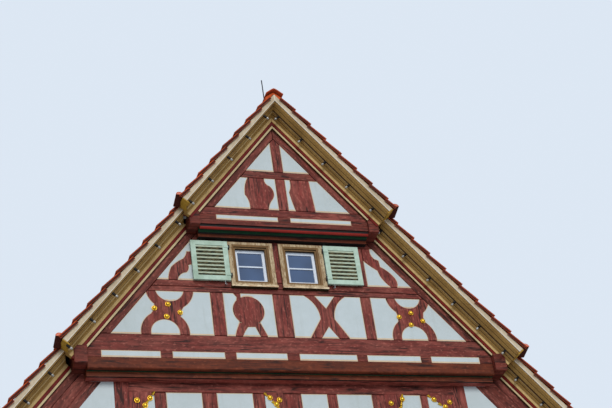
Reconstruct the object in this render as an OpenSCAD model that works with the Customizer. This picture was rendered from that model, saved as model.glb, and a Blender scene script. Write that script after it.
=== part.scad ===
// A half timbered house: a plastered ground storey, two timber framed storeys and a
// three stage gable under a steep tiled roof. Every stage of the gable leans out over
// the one below it. X runs along the front, -Y is the front, Z is up from the ground.

/* [Plan] */
// Width of the second storey, from side wall to side wall
house_w = 11000; // [10600:100:11600]
// Depth between the faces of the two middle gable stages
house_d = 11200; // [9600:100:13000]
// How far each gable stage leans out over the stage below
jetty = 300; // [220:10:340]
// How far each lower storey leans out over the storey below
low_jetty = 200; // [120:10:260]

/* [Heights] */
// Height of the masonry of the ground storey
ground_h = 3855; // [3400:5:4200]
// Height of the first storey, from floor beam to floor beam
first_h = 2850; // [2700:10:3100]
// Height of the second storey
second_h = 2850; // [2700:10:3100]
// Height of the lower gable stage
lower_h = 3000; // [2900:10:3100]
// Height of the middle gable stage, which has the two windows
middle_h = 2400; // [2380:10:2440]

/* [Walls] */
// Thickness of the ground storey masonry
masonry_t = 450; // [350:10:600]
// Thickness of a timber framed wall
wall_t = 200; // [180:5:260]
// Depth of the timbers in that wall
timber_t = 120; // [90:5:140]
// How far the plaster lies behind the face of the timbers
plaster_back = 6; // [2:1:20]
// Height of the sill beam of the storeys and the lower gable stage
sill_h = 220; // [180:5:260]
// Height of the sill beam of the middle gable stage
middle_sill_h = 312; // [260:2:330]
// Height of the sill beam of the top gable stage
top_sill_h = 157; // [140:1:180]
// Height of the joist ends that show under a sill beam
joist_h = 125; // [100:5:150]
// Height of the joist ends under the top gable stage
top_joist_h = 97; // [80:1:120]
// Depth of a joist behind the wall below it
joist_deep = 225; // [200:5:260]
// Width of the joists of the storeys
joist_w = 200; // [160:10:240]
// Thickness of the floor boards
board_t = 40; // [25:5:50]
// Height of the wall plate that the joists lie on
plate_h = 180; // [150:5:220]
// Width of the posts of the storeys
post_w = 200; // [160:10:240]
// Width of the struts and curved braces
brace_w = 165; // [130:5:190]
// Outer radius of the two rings that make a curved cross
cross_r = 412; // [360:2:420]
// Width of each ring of a curved cross
cross_t = 165; // [130:5:180]
// Diameter of the turned knobs on the curved crosses
knob_d = 70; // [40:2:90]

/* [Roof] */
// Rise of the roof for each unit of run
roof_slope = 1.25; // [1.2:0.01:1.3]
// How far the roof's underside passes the second storey wall at the attic floor
roof_past = 548; // [520:1:600]
// Depth of the gable rafters, square to the slope
rafter_deep = 366; // [330:2:390]
// How far the eaves reach out past the second storey wall
eaves_out = 1000; // [800:20:1200]
// How far the rafter feet reach past the second storey wall
foot_out = 350; // [250:10:400]
// Thickness of the roof boards and battens, which the barge boards cover
deck_t = 92; // [80:2:120]
// Thickness of the tile layer at the top of a course
tile_t = 30; // [24:2:40]
// How far the lower edge of a course stands up over the next
tile_step = 46; // [36:2:52]
// Length of a course of tiles, down the slope
tile_gauge = 400; // [320:10:440]
// How far the barge boards stand out from the wall of their stage
verge_out = 400; // [340:10:440]
// How far the verge tiles reach past the barge boards
tile_out = 40; // [20:5:60]
// Thickness of the barge boards
barge_t = 28; // [20:2:40]
// Height of the sloping soffit box at the wall
soffit_h = 148; // [130:2:160]
// How far the end tiles of a verge hang below its boards
end_drop = 170; // [140:5:190]
// Width of those end tiles
end_tile_w = 150; // [120:5:170]
// Thickness of the boards that close the soffit beside them
end_board_t = 20; // [15:1:25]
// Rise of the ridge tiles over their half width
ridge_rise = 115; // [90:5:130]
// Half width of the ridge tiles
ridge_half = 165; // [140:5:190]
// Thickness of the ridge tiles
ridge_t = 40; // [30:2:50]
// Height of each of the two painted strips at the wall
strip_h = 43; // [34:1:48]
// Slope length of the top stage's verge
top_verge = 2980; // [2980:10:3040]
// Slope length of the two upper stages' verge together
middle_verge = 6350; // [6250:10:6450]

/* [Windows] */
// Width over the surround of a gable window
gable_win_w = 815; // [780:5:830]
// Height over the surround of a gable window
gable_win_h = 910; // [860:5:920]
// Post that shows between the two gable windows
win_gap = 111; // [90:1:160]
// Place of that post's middle, from the middle of the gable
mullion_x = -160; // [-200:5:0]
// Width of a window's surround, at the sides
surround_w = 135; // [110:5:150]
// Lip of the surround that lies over the wall
surround_lip = 30; // [20:2:45]
// How far the surround stands out from the timbers
surround_out = 50; // [30:5:60]
// Width over the surround of a storey window
storey_win_w = 700; // [600:10:760]
// Height over the surround of a storey window
storey_win_h = 1000; // [860:10:1080]
// Width of the wooden frame of a casement
sash_w = 52; // [40:2:64]
// Thickness of a casement
sash_t = 48; // [36:2:60]
// Thickness of the glass
glass_t = 8; // [4:1:12]

/* [Shutters] */
// Width of a shutter
shutter_w = 660; // [600:5:680]
// Height of a shutter
shutter_h = 785; // [740:5:800]
// Thickness of a shutter
shutter_t = 38; // [26:2:44]
// Width of the frame of a shutter
stile_w = 88; // [70:2:100]
// Number of slats in a shutter
slats = 8; // [6:1:11]
// Thickness of a slat
slat_t = 9; // [6:1:12]
// Tilt of the slats, which fall towards the outside when a shutter is closed
slat_tilt = 65; // [25:5:70]
// Diameter of the hinge pins
pin_d = 16; // [12:1:20]

/* [Door] */
// Width of the doorway
door_w = 1300; // [1000:20:1500]
// Height at which the arch of the doorway starts
door_spring = 1750; // [1600:10:2000]
// Width of the stone arch around the doorway
arch_w = 190; // [140:10:240]
// Thickness of the door
door_t = 60; // [40:5:80]

/* [Hidden] */
$fn = 48;

// Colours
oxblood = [0.42, 0.18, 0.17];
plaster = [0.86, 0.88, 0.87];
stone = [0.78, 0.72, 0.62];
tile_red = [0.75, 0.32, 0.17];
tan = [0.62, 0.50, 0.32];
cream = [0.80, 0.75, 0.66];
mint = [0.62, 0.76, 0.70];
white = [0.93, 0.94, 0.94];
glass_blue = [0.30, 0.36, 0.45];
iron = [0.15, 0.15, 0.16];
gold = [0.85, 0.68, 0.22];

// Levels of the tops of the sill beams
sill_1 = ground_h + joist_h + sill_h;
sill_2 = sill_1 + first_h;
sill_3 = sill_2 + second_h;
sill_4 = sill_3 + lower_h;
sill_5 = sill_4 + middle_h;

// Faces of the walls, measured from the middle of the house
face_5 = house_d / 2 + jetty;
face_4 = house_d / 2;
face_3 = face_4 - jetty;
face_2 = face_3 - jetty;
face_1 = face_2 - low_jetty;
face_0 = face_1 - low_jetty;
half_2 = house_w / 2;
half_1 = half_2 - low_jetty;
half_0 = half_1 - low_jetty;

// Roof lines: the underside passes roof_half at the level of sill_4
roof_half = half_2 + roof_past - lower_h / roof_slope;
pitch = atan(roof_slope);
apex_z = sill_4 + roof_half * roof_slope;
rafter_half = roof_half - rafter_deep / sin(pitch);
eaves_s = (half_2 + eaves_out) / cos(pitch);
far = 20000;
eps = 1;
// Gap at which one piece lies on another
seat = 0.3;
roof_apex_z = apex_z + seat / cos(pitch);

// Lists of joists, as the two edges of each
middle_joists = [[-2371, -2172], [-1280, -1085], [-191, 28], [1063, 1250], [2241, 2435]];
top_joists = [[-124, 107]];
middle_strip_end = roof_half - 292;
top_strip_end = roof_half - 2397;

// Purlins: inner edge, width, underside, height and how far out of the lower wall
top_purlin = [roof_half - 2088, 190, sill_4 + 2000, 260, jetty + 50];
low_purlin = [roof_half - 56, 222, sill_4 - 600, 320, jetty + 100];

// Half width inside the roof boards at a height
function roof_x(z) = (apex_z - z) / roof_slope;
// Half width inside the gable rafters at a height
function rafter_x(z) = roof_x(z) - (roof_half - rafter_half);
rafter_apex_z = sill_4 + rafter_half * roof_slope;
// Middle of the circle through three points
function circle_mid(a, b, c) =
  let (d = 2 * (a[0] * (b[1] - c[1]) + b[0] * (c[1] - a[1]) + c[0] * (a[1] - b[1])),
    aa = a * a, bb = b * b, cc = c * c)
  [(aa * (b[1] - c[1]) + bb * (c[1] - a[1]) + cc * (a[1] - b[1])) / d,
   (aa * (c[0] - b[0]) + bb * (a[0] - c[0]) + cc * (b[0] - a[0])) / d];
// Turns an angle into the range that starts at 0
function turn(a) = a - 360 * floor(a / 360);
// Points of the arc that starts at a, passes b and ends at c
function arc(a, b, c, n = 6) =
  let (m = circle_mid(a, b, c), r = norm(a - m),
    t0 = atan2(a[1] - m[1], a[0] - m[0]),
    tb = turn(atan2(b[1] - m[1], b[0] - m[0]) - t0),
    tc = turn(atan2(c[1] - m[1], c[0] - m[0]) - t0),
    sweep = tb < tc ? tc : tc - 360)
  [for (i = [0:n]) m + r * [cos(t0 + sweep * i / n), sin(t0 + sweep * i / n)]];

// A flat shape in x and z, stood up with its face at -y and its thickness behind it
module stand(y, t) {
  translate([0, t - y, 0]) rotate([90, 0, 0]) linear_extrude(t) children();
}
// The same at the back of the house
module stand_back(y, t) {
  mirror([0, 1, 0]) stand(y, t) children();
}
// A wall on the left or right side; its own x runs along the house
module stand_side(side, x, t) {
  if (side < 0) rotate([0, 0, -90]) stand(x, t) children();
  else rotate([0, 0, 90]) stand(x, t) children();
}
// Both gables
module both_gables() {
  children();
  mirror([0, 1, 0]) children();
}
// Both sides of the roof
module both_slopes() {
  children();
  mirror([1, 0, 0]) children();
}
module bar(x0, x1, z0, z1) {
  translate([x0, z0]) square([x1 - x0, z1 - z0]);
}

// Curved cross of two rings, one opening up and one opening down
module curved_cross(top_x, foot_x, z0, z1, r = cross_r) {
  top = [top_x, z1 + r * 0.12];
  foot = [foot_x, z0 + r * 0.10];
  mid_x = (top_x + foot_x) / 2;
  mid_z = (top[1] + foot[1]) / 2;
  intersection() {
    bar(min(top_x, foot_x) - 2 * r, max(top_x, foot_x) + 2 * r, z0, z1);
    union() {
      for (c = [top, foot]) translate(c) difference() {
        circle(r);
        circle(r - cross_t);
      }
      polygon([for (p = [[0.64, 0.3], [0.57, 0], [0.64, -0.3], [-0.64, -0.3], [-0.57, 0], [-0.64, 0.3]])
        [mid_x + r * p[0] + (top_x - mid_x) * p[1] / 0.3 * 0.8, mid_z + r * p[1]]]);
    }
  }
}
// Straight cross with hollow sides
module hollow_cross(x0, x1, z0, z1, arm = 196) {
  m = (x0 + x1) / 2;
  h = z1 - z0;
  waist = 128;
  // The arms are curved above the waist and straight below it
  side = concat(arc([x0, z1], [m - waist * 1.23, z0 + h * 0.68], [m - waist, z0 + h * 0.45], 10),
    [[x0 + 24, z0], [x0 - eps, z0], [x0 - eps, z1]]);
  difference() {
    bar(x0, x1, z0, z1);
    polygon(side);
    polygon([for (p = side) [2 * m - p[0], p[1]]]);
    polygon([[x0 + arm, z1 + eps], [m, z0 + h * 0.7], [x1 - arm, z1 + eps]]);
    polygon([[x0 + arm + 25, z0 - eps], [m, z0 + h * 0.28], [x1 - arm - 25, z0 - eps]]);
  }
}
// Disc on two splayed legs, hung from the rail by a short neck
disc_r = 276;
module disc_figure(x, z0, z1) {
  translate([x, z0]) {
    translate([0, 500]) circle(disc_r);
    difference() {
      polygon([[-281, 0], [-250, 110], [-185, 260], [180, 260], [237, 125], [286, 0]]);
      polygon([[-156, -eps], [-102, 108], [-48, 184], [88, 190], [120, 105], [160, -eps]]);
    }
    polygon([[-243, z1 - z0], [-185, 763], [-200, 650], [-117, 650], [-117, z1 - z0]]);
  }
}
// Curved brace: a band of one width along an arc
module bent_brace(a, b, c, w = brace_w) {
  m = circle_mid(a, b, c);
  out = [for (p = [a, b, c]) m + (p - m) * (1 + w / 2 / norm(p - m))];
  inn = [for (p = [c, b, a]) m + (p - m) * (1 - w / 2 / norm(p - m))];
  polygon(concat(arc(out[0], out[1], out[2], 10), arc(inn[0], inn[1], inn[2], 10)));
}

// Area of a gable stage between two heights, out to the roof boards
module gable_area(z0, z1, clip = far) {
  intersection() {
    polygon([[-roof_x(z0), z0], [roof_x(z0), z0], [roof_x(z1), z1], [-roof_x(z1), z1]]);
    bar(-clip, clip, z0, z1);
  }
}
module gable_rafters(z0, z1, clip = far) {
  difference() {
    gable_area(z0, z1, clip);
    polygon([[-rafter_x(z0 - eps), z0 - eps], [rafter_x(z0 - eps), z0 - eps], [0, rafter_apex_z]]);
  }
}

// Timbers of the top gable stage
top_z0 = sill_5 - top_sill_h;
top_z1 = apex_z - 250 * roof_slope;
rail_5 = [671, 829];
module top_frame_2d() {
  z = sill_5;
  gable_rafters(top_z0, top_z1);
  intersection() {
    gable_area(top_z0, top_z1);
    union() {
      bar(-far, far, top_z0, z);
      bar(-far, far, z + rail_5[0], z + rail_5[1]);
      bar(-75, 107, z, apex_z);
      bar(-far, far, z + 1500, apex_z);
      translate([0, z]) urn_plates();
    }
  }
}
// Two shaped plates beside the middle post of the top stage
module urn_plates() {
  h = rail_5[0];
  polygon(concat(
    arc([-608, 0], [-622, 190], [-672, 300]), arc([-672, 300], [-655, 480], [-584, h]),
    arc([-280, h], [-262, 560], [-190, 505], 4), arc([-190, 505], [-133, 390], [-172, 225], 8),
    arc([-172, 225], [-240, 110], [-267, 0], 4)));
  polygon(concat(
    arc([203, h], [205, 530], [163, 400]), arc([163, 400], [186, 250], [237, 0]),
    [[609, 0], [563, h]]));
}

// Timbers of the middle gable stage
middle_z0 = sill_4 - middle_sill_h;
middle_z1 = sill_5 - top_sill_h - top_joist_h;
rail_4 = [836, 1067];
mid_post = [-315, -8];
module middle_frame_2d() {
  z = sill_4;
  h = rail_4[0];
  gable_rafters(middle_z0, middle_z1);
  intersection() {
    gable_area(middle_z0, middle_z1);
    union() {
      bar(-far, far, middle_z0, z);
      bar(-far, far, z + rail_4[0], z + rail_4[1]);
      bar(-far, far, middle_z1 - 290, middle_z1);
      bar(-1426, -1202, z, middle_z1);
      bar(1301, 1490, z, middle_z1);
      bar(mid_post[0], mid_post[1], z, middle_z1);
      curved_cross(-2130, -2257, z, z + h);
      curved_cross(2196, 2208, z, z + h);
      disc_figure(-775, z, z + h);
      hollow_cross(256, 1016, z, z + h);
      translate([0, z]) ogee_braces();
    }
  }
}
// Stepped braces between the rafters and the windows
module ogee_braces() {
  r = rail_4[1] - eps;
  polygon(concat(
    arc([-2128, r], [-2105, 1195], [-2057, 1321]), arc([-2057, 1321], [-1960, 1412], [-1838, 1492]),
    arc([-1838, 1492], [-1785, 1567], [-1762, 1641], 4), [[-1400, 1655], [-1400, 1391]],
    [[-1690, 1391], [-1755, 1370]], arc([-1755, 1370], [-1762, 1280], [-1799, 1225], 4),
    arc([-1799, 1225], [-1915, 1170], [-1965, r], 4)));
  polygon(concat(
    arc([2055, r], [2063, 1197], [2005, 1306], 4), arc([2005, 1306], [1903, 1414], [1794, 1485]),
    [[1782, 1616]], arc([1702, 1650], [1648, 1742], [1660, 1900], 4),
    [[1470, 1900], [1470, 1602]], arc([1488, 1602], [1607, 1495], [1730, 1407]),
    arc([1762, 1296], [1815, 1205], [1935, r], 4)));
}

// Timbers of the lower gable stage
lower_z0 = sill_3 - sill_h;
lower_z1 = middle_z0 - joist_h;
lower_clip = half_2 + foot_out;
lower_plate = 916;
frieze_h = 354;
head_h = 130;
rail_3 = [800, 980];
lower_posts = [[-3130, -2876], [-2465, -2266], [-1661, -1409], [-790, -585], [-262, 60],
  [525, 700], [1332, 1572], [2228, 2361], [2861, 3098]];
module lower_frame_2d() {
  z = sill_3;
  top = sill_4 - lower_plate;
  head = top - frieze_h;
  gable_rafters(lower_z0, lower_z1, lower_clip);
  intersection() {
    gable_area(lower_z0, lower_z1, lower_clip);
    union() {
      bar(-far, far, lower_z0, z);
      bar(-far, far, z + rail_3[0], z + rail_3[1]);
      bar(-far, far, head - head_h, head);
      bar(-far, far, top, lower_z1);
      for (p = lower_posts) bar(p[0], p[1], z, top);
      for (x = frieze_crosses) curved_cross(x, x, head, top, 190);
      for (x = [-3130, 3098]) {
        s = sign(x);
        bent_brace([x + s * 60, head], [x + s * 500, z + 1400], [x + s * 1150, z]);
      }
      for (x = [-1100, 1016]) curved_cross(x, x, z, z + rail_3[0], 340);
      hollow_cross(-2266, -1661, z, z + rail_3[0], 130);
      hollow_cross(1572, 2228, z, z + rail_3[0], 130);
    }
  }
}

// A framed storey wall: its bays run from -half to half
storey_rail = [800, 980];
storey_head = 130;
module storey_frame_2d(z, z1, half, bays, windows, braced) {
  bay = 2 * half / bays;
  clear = bay - post_w;
  top = z1 - plate_h;
  head = z + storey_rail[1] + storey_win_h;
  bar(-half, half, z - sill_h, z);
  bar(-half, half, top, z1);
  bar(-half, half, z + storey_rail[0], z + storey_rail[1]);
  bar(-half, half, head, head + storey_head);
  for (i = [0:bays]) {
    x = -half + i * bay;
    bar(max(x - post_w / 2, -half), min(x + post_w / 2, half), z, top);
  }
  for (i = windows) {
    x = -half + (i + 0.5) * bay;
    curved_cross(x, x, z, z + storey_rail[0], min(cross_r, clear / 2 - 5));
  }
  for (i = braced) {
    x = -half + (i + 0.5) * bay;
    s = i < bays / 2 ? 1 : -1;
    bent_brace([x - s * clear * 0.36, top], [x - s * clear * 0.12, z + 1100], [x + s * clear * 0.36, z]);
  }
}

// Windows: middle, underside, width and height over the surround
gable_windows = [for (s = [-1, 1])
  [mullion_x + s * (gable_win_w + win_gap) / 2, sill_4 + 936, gable_win_w, gable_win_h]];
lower_win_h = sill_4 - lower_plate - frieze_h - head_h - sill_3 - rail_3[1];
lower_windows = [for (x = [-1100, 1016]) [x, sill_3 + rail_3[1], 560, lower_win_h]];
function storey_windows(z, half, bays, at) = [for (i = at)
  [-half + (i + 0.5) * 2 * half / bays, z + storey_rail[1], storey_win_w, storey_win_h]];
end_bays = 10;
end_window_bays = [2, 3, 6, 7];
end_braced_bays = [0, 9];
side_bays = 9;
side_window_bays = [2, 4, 6];
side_braced_bays = [0, 8];
side_half_2 = face_2 - wall_t;
side_half_1 = face_1 - wall_t;
windows_2 = storey_windows(sill_2, half_2, end_bays, end_window_bays);
windows_1 = storey_windows(sill_1, half_1, end_bays, end_window_bays);
side_windows_2 = storey_windows(sill_2, side_half_2, side_bays, side_window_bays);
side_windows_1 = storey_windows(sill_1, side_half_1, side_bays, side_window_bays);
ground_windows = [for (x = [-3300, 1700, 3500]) [x, 1150, 900, 1350]];
ground_side_windows = [for (x = [-2600, 0, 2600]) [x, 1150, 900, 1350]];
// Height of a surround's own sill and head
sill_part = 140;
head_part = 112;

module window_holes(list) {
  for (w = list) {
    bar(w[0] - w[2] / 2 + surround_lip, w[0] + w[2] / 2 - surround_lip,
      w[1] + surround_lip, w[1] + w[3] - surround_lip);
  }
}
// Surround that is let into the wall and laps over it
module surround(w, deep) {
  difference() {
    union() {
      translate([w[0], 0, w[1]]) rotate([90, 0, 0]) linear_extrude(surround_out)
        bar(-w[2] / 2, w[2] / 2, 0, w[3]);
      translate([w[0], deep, w[1]]) rotate([90, 0, 0]) linear_extrude(deep + eps)
        bar(surround_lip - w[2] / 2, w[2] / 2 - surround_lip, surround_lip, w[3] - surround_lip);
      translate([w[0] - w[2] / 2 - 12, -surround_out - 30, w[1]]) cube([w[2] + 24, surround_out + 30, 36]);
    }
    light = [w[2] - 2 * surround_w, w[3] - sill_part - head_part];
    translate([w[0] - light[0] / 2, -far, w[1] + sill_part]) cube([light[0], 2 * far, light[1]]);
    translate([w[0] - light[0] / 2 - 28, -surround_out - eps, w[1] + sill_part - 20])
      cube([light[0] + 56, surround_out - 12, light[1] + 48]);
  }
}
module surrounds(list, y, deep) {
  for (w = list) translate([0, -y, 0]) surround(w, deep);
}
// Casement inside a surround, with one bar across
sash_y = 46;
module casement(w) {
  sw = w[2] - 2 * surround_w;
  sh = w[3] - sill_part - head_part;
  translate([w[0], sash_y + sash_t, w[1] + sill_part]) rotate([90, 0, 0]) linear_extrude(sash_t)
    difference() {
      bar(-sw / 2, sw / 2, 0, sh);
      for (k = [0, 1]) bar(sash_w - sw / 2, sw / 2 - sash_w,
        sash_w + k * (sh / 2 - sash_w * 0.75), sh / 2 - sash_w / 4 + k * (sh / 2 - sash_w * 0.75));
    }
}
module pane(w) {
  sw = w[2] - 2 * surround_w - 2 * sash_w;
  sh = w[3] - sill_part - head_part;
  for (k = [0, 1]) translate([w[0] - sw / 2, sash_y + sash_t / 2 - glass_t / 2,
    w[1] + sill_part + sash_w + k * (sh / 2 - sash_w * 0.75)]) cube([sw, glass_t, sh / 2 - sash_w * 1.25]);
}
// Every window of the house, for the casements and the glass
module at_each_window() {
  both_gables() {
    translate([0, -face_4, 0]) for ($w = gable_windows) children();
    translate([0, -face_3, 0]) for ($w = lower_windows) children();
    translate([0, -face_2, 0]) for ($w = windows_2) children();
    translate([0, -face_1, 0]) for ($w = windows_1) children();
    translate([0, -face_0, 0]) for ($w = ground_windows) children();
  }
  for (a = [-90, 90]) rotate([0, 0, a]) {
    translate([0, -half_2, 0]) for ($w = side_windows_2) children();
    translate([0, -half_1, 0]) for ($w = side_windows_1) children();
    translate([0, -half_0, 0]) for ($w = ground_side_windows) children();
  }
}

// Ground storey
door_x = -1000;
door_z = 150;
module doorway(grow = 0) {
  translate([door_x, door_z]) {
    bar(-door_w / 2 - grow, door_w / 2 + grow, grow > 0 ? -door_z : 0, door_spring);
    translate([0, door_spring]) circle(door_w / 2 + grow);
  }
}
module end_wall_2d(door) {
  difference() {
    bar(-half_0, half_0, 0, ground_h);
    window_holes(ground_windows);
    if (door) doorway(arch_w);
  }
}
module ground_front_wall() {
  color(stone) stand(face_0, masonry_t) end_wall_2d(true);
}
module ground_back_wall() {
  color(stone) stand_back(face_0, masonry_t) end_wall_2d(false);
}
module ground_side(side) {
  long = face_0 - masonry_t;
  color(stone) stand_side(side, half_0, masonry_t) difference() {
    bar(-long, long, 0, ground_h);
    window_holes(ground_side_windows);
  }
}
module ground_left_wall() ground_side(-1);
module ground_right_wall() ground_side(1);
module ground_floor() {
  color(stone) translate([masonry_t - half_0, masonry_t - face_0, 0])
    cube([2 * (half_0 - masonry_t), 2 * (face_0 - masonry_t), door_z]);
}
module door_arch() {
  color(stone) stand(face_0 + 30, masonry_t + 30) difference() {
    doorway(arch_w);
    doorway();
  }
}
module front_door() {
  color(oxblood) stand(face_0 - 160, door_t) doorway();
}

// Floors: joists that show at the jetties, with boards on them
module joist(x0, x1, top, high, y_out, y_in, deep = true) {
  translate([x0, -y_out, top - high]) cube([x1 - x0, 2 * y_out, high]);
  if (deep) translate([x0, -y_in, top - joist_deep]) cube([x1 - x0, 2 * y_in, joist_deep - eps]);
}
module deck(half_x, half_y, top) {
  translate([-half_x, -half_y, top]) cube([2 * half_x, 2 * half_y, board_t]);
}
function even_joists(half, bays) = [for (i = [0:bays])
  let (x = -half + i * 2 * half / bays) [max(x - joist_w / 2, -half), min(x + joist_w / 2, half)]];
// The edge beam carries the wall above and the ends of the boards
beam_w = wall_t + board_t;
module storey_floor(top, half, y_out, y_in) {
  color(oxblood) {
    for (j = even_joists(half, end_bays))
      joist(j[0], j[1], top, joist_h, y_out, y_in, abs(j[0] + j[1]) < 2 * half - joist_w);
    for (s = [-1, 1]) translate([-half, s * y_out - (s > 0 ? beam_w : 0), top - joist_h])
      cube([2 * half, beam_w, joist_h]);
    deck(half - wall_t, y_out - wall_t, top);
  }
}
module first_floor() storey_floor(sill_1 - sill_h, half_1, face_1, face_0 - masonry_t);
module second_floor() storey_floor(sill_2 - sill_h, half_2, face_2, face_1 - wall_t);
module attic_floor() storey_floor(sill_3 - sill_h, half_2, face_3, face_2 - wall_t);
module upper_attic_floor() {
  top = middle_z0;
  color(oxblood) {
    for (j = middle_joists) joist(j[0], j[1], top, joist_h, face_4, face_3 - wall_t);
    for (s = [-1, 1]) joist(s > 0 ? middle_strip_end : -low_purlin[0], s > 0 ? low_purlin[0] : -middle_strip_end,
      top, joist_h, face_4, face_3 - wall_t);
    deck(rafter_x(top + board_t) - 20, face_4 - wall_t, top);
  }
}
module loft_floor() {
  top = top_z0;
  color(oxblood) {
    for (j = top_joists) joist(j[0], j[1], top, top_joist_h, face_5, face_4 - wall_t);
    for (s = [-1, 1]) joist(s > 0 ? top_strip_end : -top_purlin[0], s > 0 ? top_purlin[0] : -top_strip_end,
      top, top_joist_h, face_5, face_4 - wall_t);
    deck(rafter_x(top + board_t) - 20, face_5 - wall_t, top);
  }
}

// Purlins and eaves plates
module purlin_at(p, y) {
  both_slopes() translate([p[0], -y - p[4], p[2]]) cube([p[1], 2 * (y + p[4]), p[3]]);
}
module purlins() {
  color(oxblood) {
    purlin_at(top_purlin, face_4);
    purlin_at(low_purlin, face_3);
    both_slopes() stand(face_3 - wall_t, 2 * (face_3 - wall_t)) intersection() {
      bar(half_2, lower_clip, sill_3 - sill_h - joist_h, far);
      gable_area(sill_3 - sill_h - joist_h, sill_5);
    }
  }
}

// Frames
module less_purlins() {
  difference() {
    children();
    purlin_at(top_purlin, face_4);
    purlin_at(low_purlin, face_3);
  }
}
module top_frame() less_purlins() stand(face_5, timber_t) top_frame_2d();
module middle_frame() {
  less_purlins() stand(face_4, timber_t) difference() {
    middle_frame_2d();
    window_holes(gable_windows);
  }
}
module lower_frame() {
  less_purlins() stand(face_3, timber_t) difference() {
    lower_frame_2d();
    window_holes(lower_windows);
  }
}
module second_frame_2d() {
  storey_frame_2d(sill_2, sill_3 - sill_h - joist_h, half_2, end_bays, end_window_bays, end_braced_bays);
}
module first_frame_2d() {
  storey_frame_2d(sill_1, sill_2 - sill_h - joist_h, half_1, end_bays, end_window_bays, end_braced_bays);
}
module side_2_2d() {
  storey_frame_2d(sill_2, sill_3 - sill_h - joist_h, side_half_2, side_bays, side_window_bays, side_braced_bays);
}
module side_1_2d() {
  storey_frame_2d(sill_1, sill_2 - sill_h - joist_h, side_half_1, side_bays, side_window_bays, side_braced_bays);
}
// Turned knobs around the middles of the curved crosses, seated on the timbers
gable_crosses = [[-2200, sill_4 + 455], [2195, sill_4 + 422]];
frieze_crosses = [-2682, -424, 1750, 2611];
knob_places = [[-0.5, 0], [0, 0.29], [0.5, 0], [0, -0.29]];
module knob(x, z, face) {
  translate([x, -face, z]) rotate([90, 0, 0]) {
    cylinder(d = knob_d, h = knob_d * 0.22);
    translate([0, 0, knob_d * 0.22]) intersection() {
      sphere(d = knob_d * 0.86);
      cylinder(d = knob_d, h = knob_d);
    }
  }
}
module cross_knobs() {
  color(gold) both_gables() {
    for (c = gable_crosses) for (k = knob_places)
      knob(c[0] + k[0] * cross_r, c[1] + k[1] * cross_r, face_4);
    for (x = frieze_crosses) for (s = [-1, 0, 1])
      knob(x + s * 85, sill_4 - lower_plate - frieze_h / 2 + (s == 0 ? -60 : 30), face_3);
  }
}
module front_top_gable_frame() color(oxblood) top_frame();
module front_middle_gable_frame() color(oxblood) middle_frame();
module front_lower_gable_frame() color(oxblood) lower_frame();
module front_second_frame() color(oxblood) stand(face_2, timber_t) second_frame_2d();
module front_first_frame() color(oxblood) stand(face_1, timber_t) first_frame_2d();
module back_gable_frames() {
  color(oxblood) mirror([0, 1, 0]) {
    top_frame();
    middle_frame();
    lower_frame();
  }
}
module back_storey_frames() {
  color(oxblood) {
    stand_back(face_2, timber_t) second_frame_2d();
    stand_back(face_1, timber_t) first_frame_2d();
  }
}
module side_frames(side) {
  color(oxblood) {
    stand_side(side, half_2, timber_t) side_2_2d();
    stand_side(side, half_1, timber_t) side_1_2d();
  }
}
module left_side_frames() side_frames(-1);
module right_side_frames() side_frames(1);

// Plastered infill: a lining behind the timbers, brought forward between them.
// children(0) is the wall's area with its windows cut out, children(1) its timbers
module infill() {
  translate([0, wall_t, 0]) rotate([90, 0, 0]) linear_extrude(wall_t - timber_t) children(0);
  translate([0, timber_t, 0]) rotate([90, 0, 0]) linear_extrude(timber_t - plaster_back) difference() {
    children(0);
    children(1);
  }
}
module jetty_strips(list, end, z, high) {
  edges = concat([-end], [for (j = list) for (e = j) e], [end]);
  for (i = [0:2:len(edges) - 1]) translate([edges[i], plaster_back, z])
    cube([edges[i + 1] - edges[i], wall_t, high]);
}
module gable_infill() {
  less_purlins() translate([0, -face_5, 0]) infill() {
    gable_area(top_z0, top_z1);
    top_frame_2d();
  }
  less_purlins() translate([0, -face_4, 0]) infill() {
    difference() {
      gable_area(middle_z0, middle_z1);
      window_holes(gable_windows);
    }
    middle_frame_2d();
  }
  less_purlins() translate([0, -face_3, 0]) infill() {
    difference() {
      gable_area(lower_z0, lower_z1, lower_clip);
      window_holes(lower_windows);
    }
    lower_frame_2d();
  }
  translate([0, -face_5, 0]) jetty_strips(top_joists, top_strip_end, top_z0 - top_joist_h, top_joist_h);
  translate([0, -face_4, 0]) jetty_strips(middle_joists, middle_strip_end, middle_z0 - joist_h, joist_h);
}
module storey_infill() {
  translate([0, -face_2, 0]) infill() {
    difference() {
      bar(-half_2, half_2, sill_2 - sill_h, sill_3 - sill_h - joist_h);
      window_holes(windows_2);
    }
    second_frame_2d();
  }
  translate([0, -face_1, 0]) infill() {
    difference() {
      bar(-half_1, half_1, sill_1 - sill_h, sill_2 - sill_h - joist_h);
      window_holes(windows_1);
    }
    first_frame_2d();
  }
}
module side_infill(side) {
  color(plaster) rotate([0, 0, side * 90]) {
    translate([0, -half_2, 0]) infill() {
      difference() {
        bar(-side_half_2, side_half_2, sill_2 - sill_h, sill_3 - sill_h - joist_h);
        window_holes(side_windows_2);
      }
      side_2_2d();
    }
    translate([0, -half_1, 0]) infill() {
      difference() {
        bar(-side_half_1, side_half_1, sill_1 - sill_h, sill_2 - sill_h - joist_h);
        window_holes(side_windows_1);
      }
      side_1_2d();
    }
  }
}
module front_gable_infill() color(plaster) gable_infill();
module back_gable_infill() color(plaster) mirror([0, 1, 0]) gable_infill();
module front_storey_infill() color(plaster) storey_infill();
module back_storey_infill() color(plaster) mirror([0, 1, 0]) storey_infill();
module left_side_infill() side_infill(-1);
module right_side_infill() side_infill(1);

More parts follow.
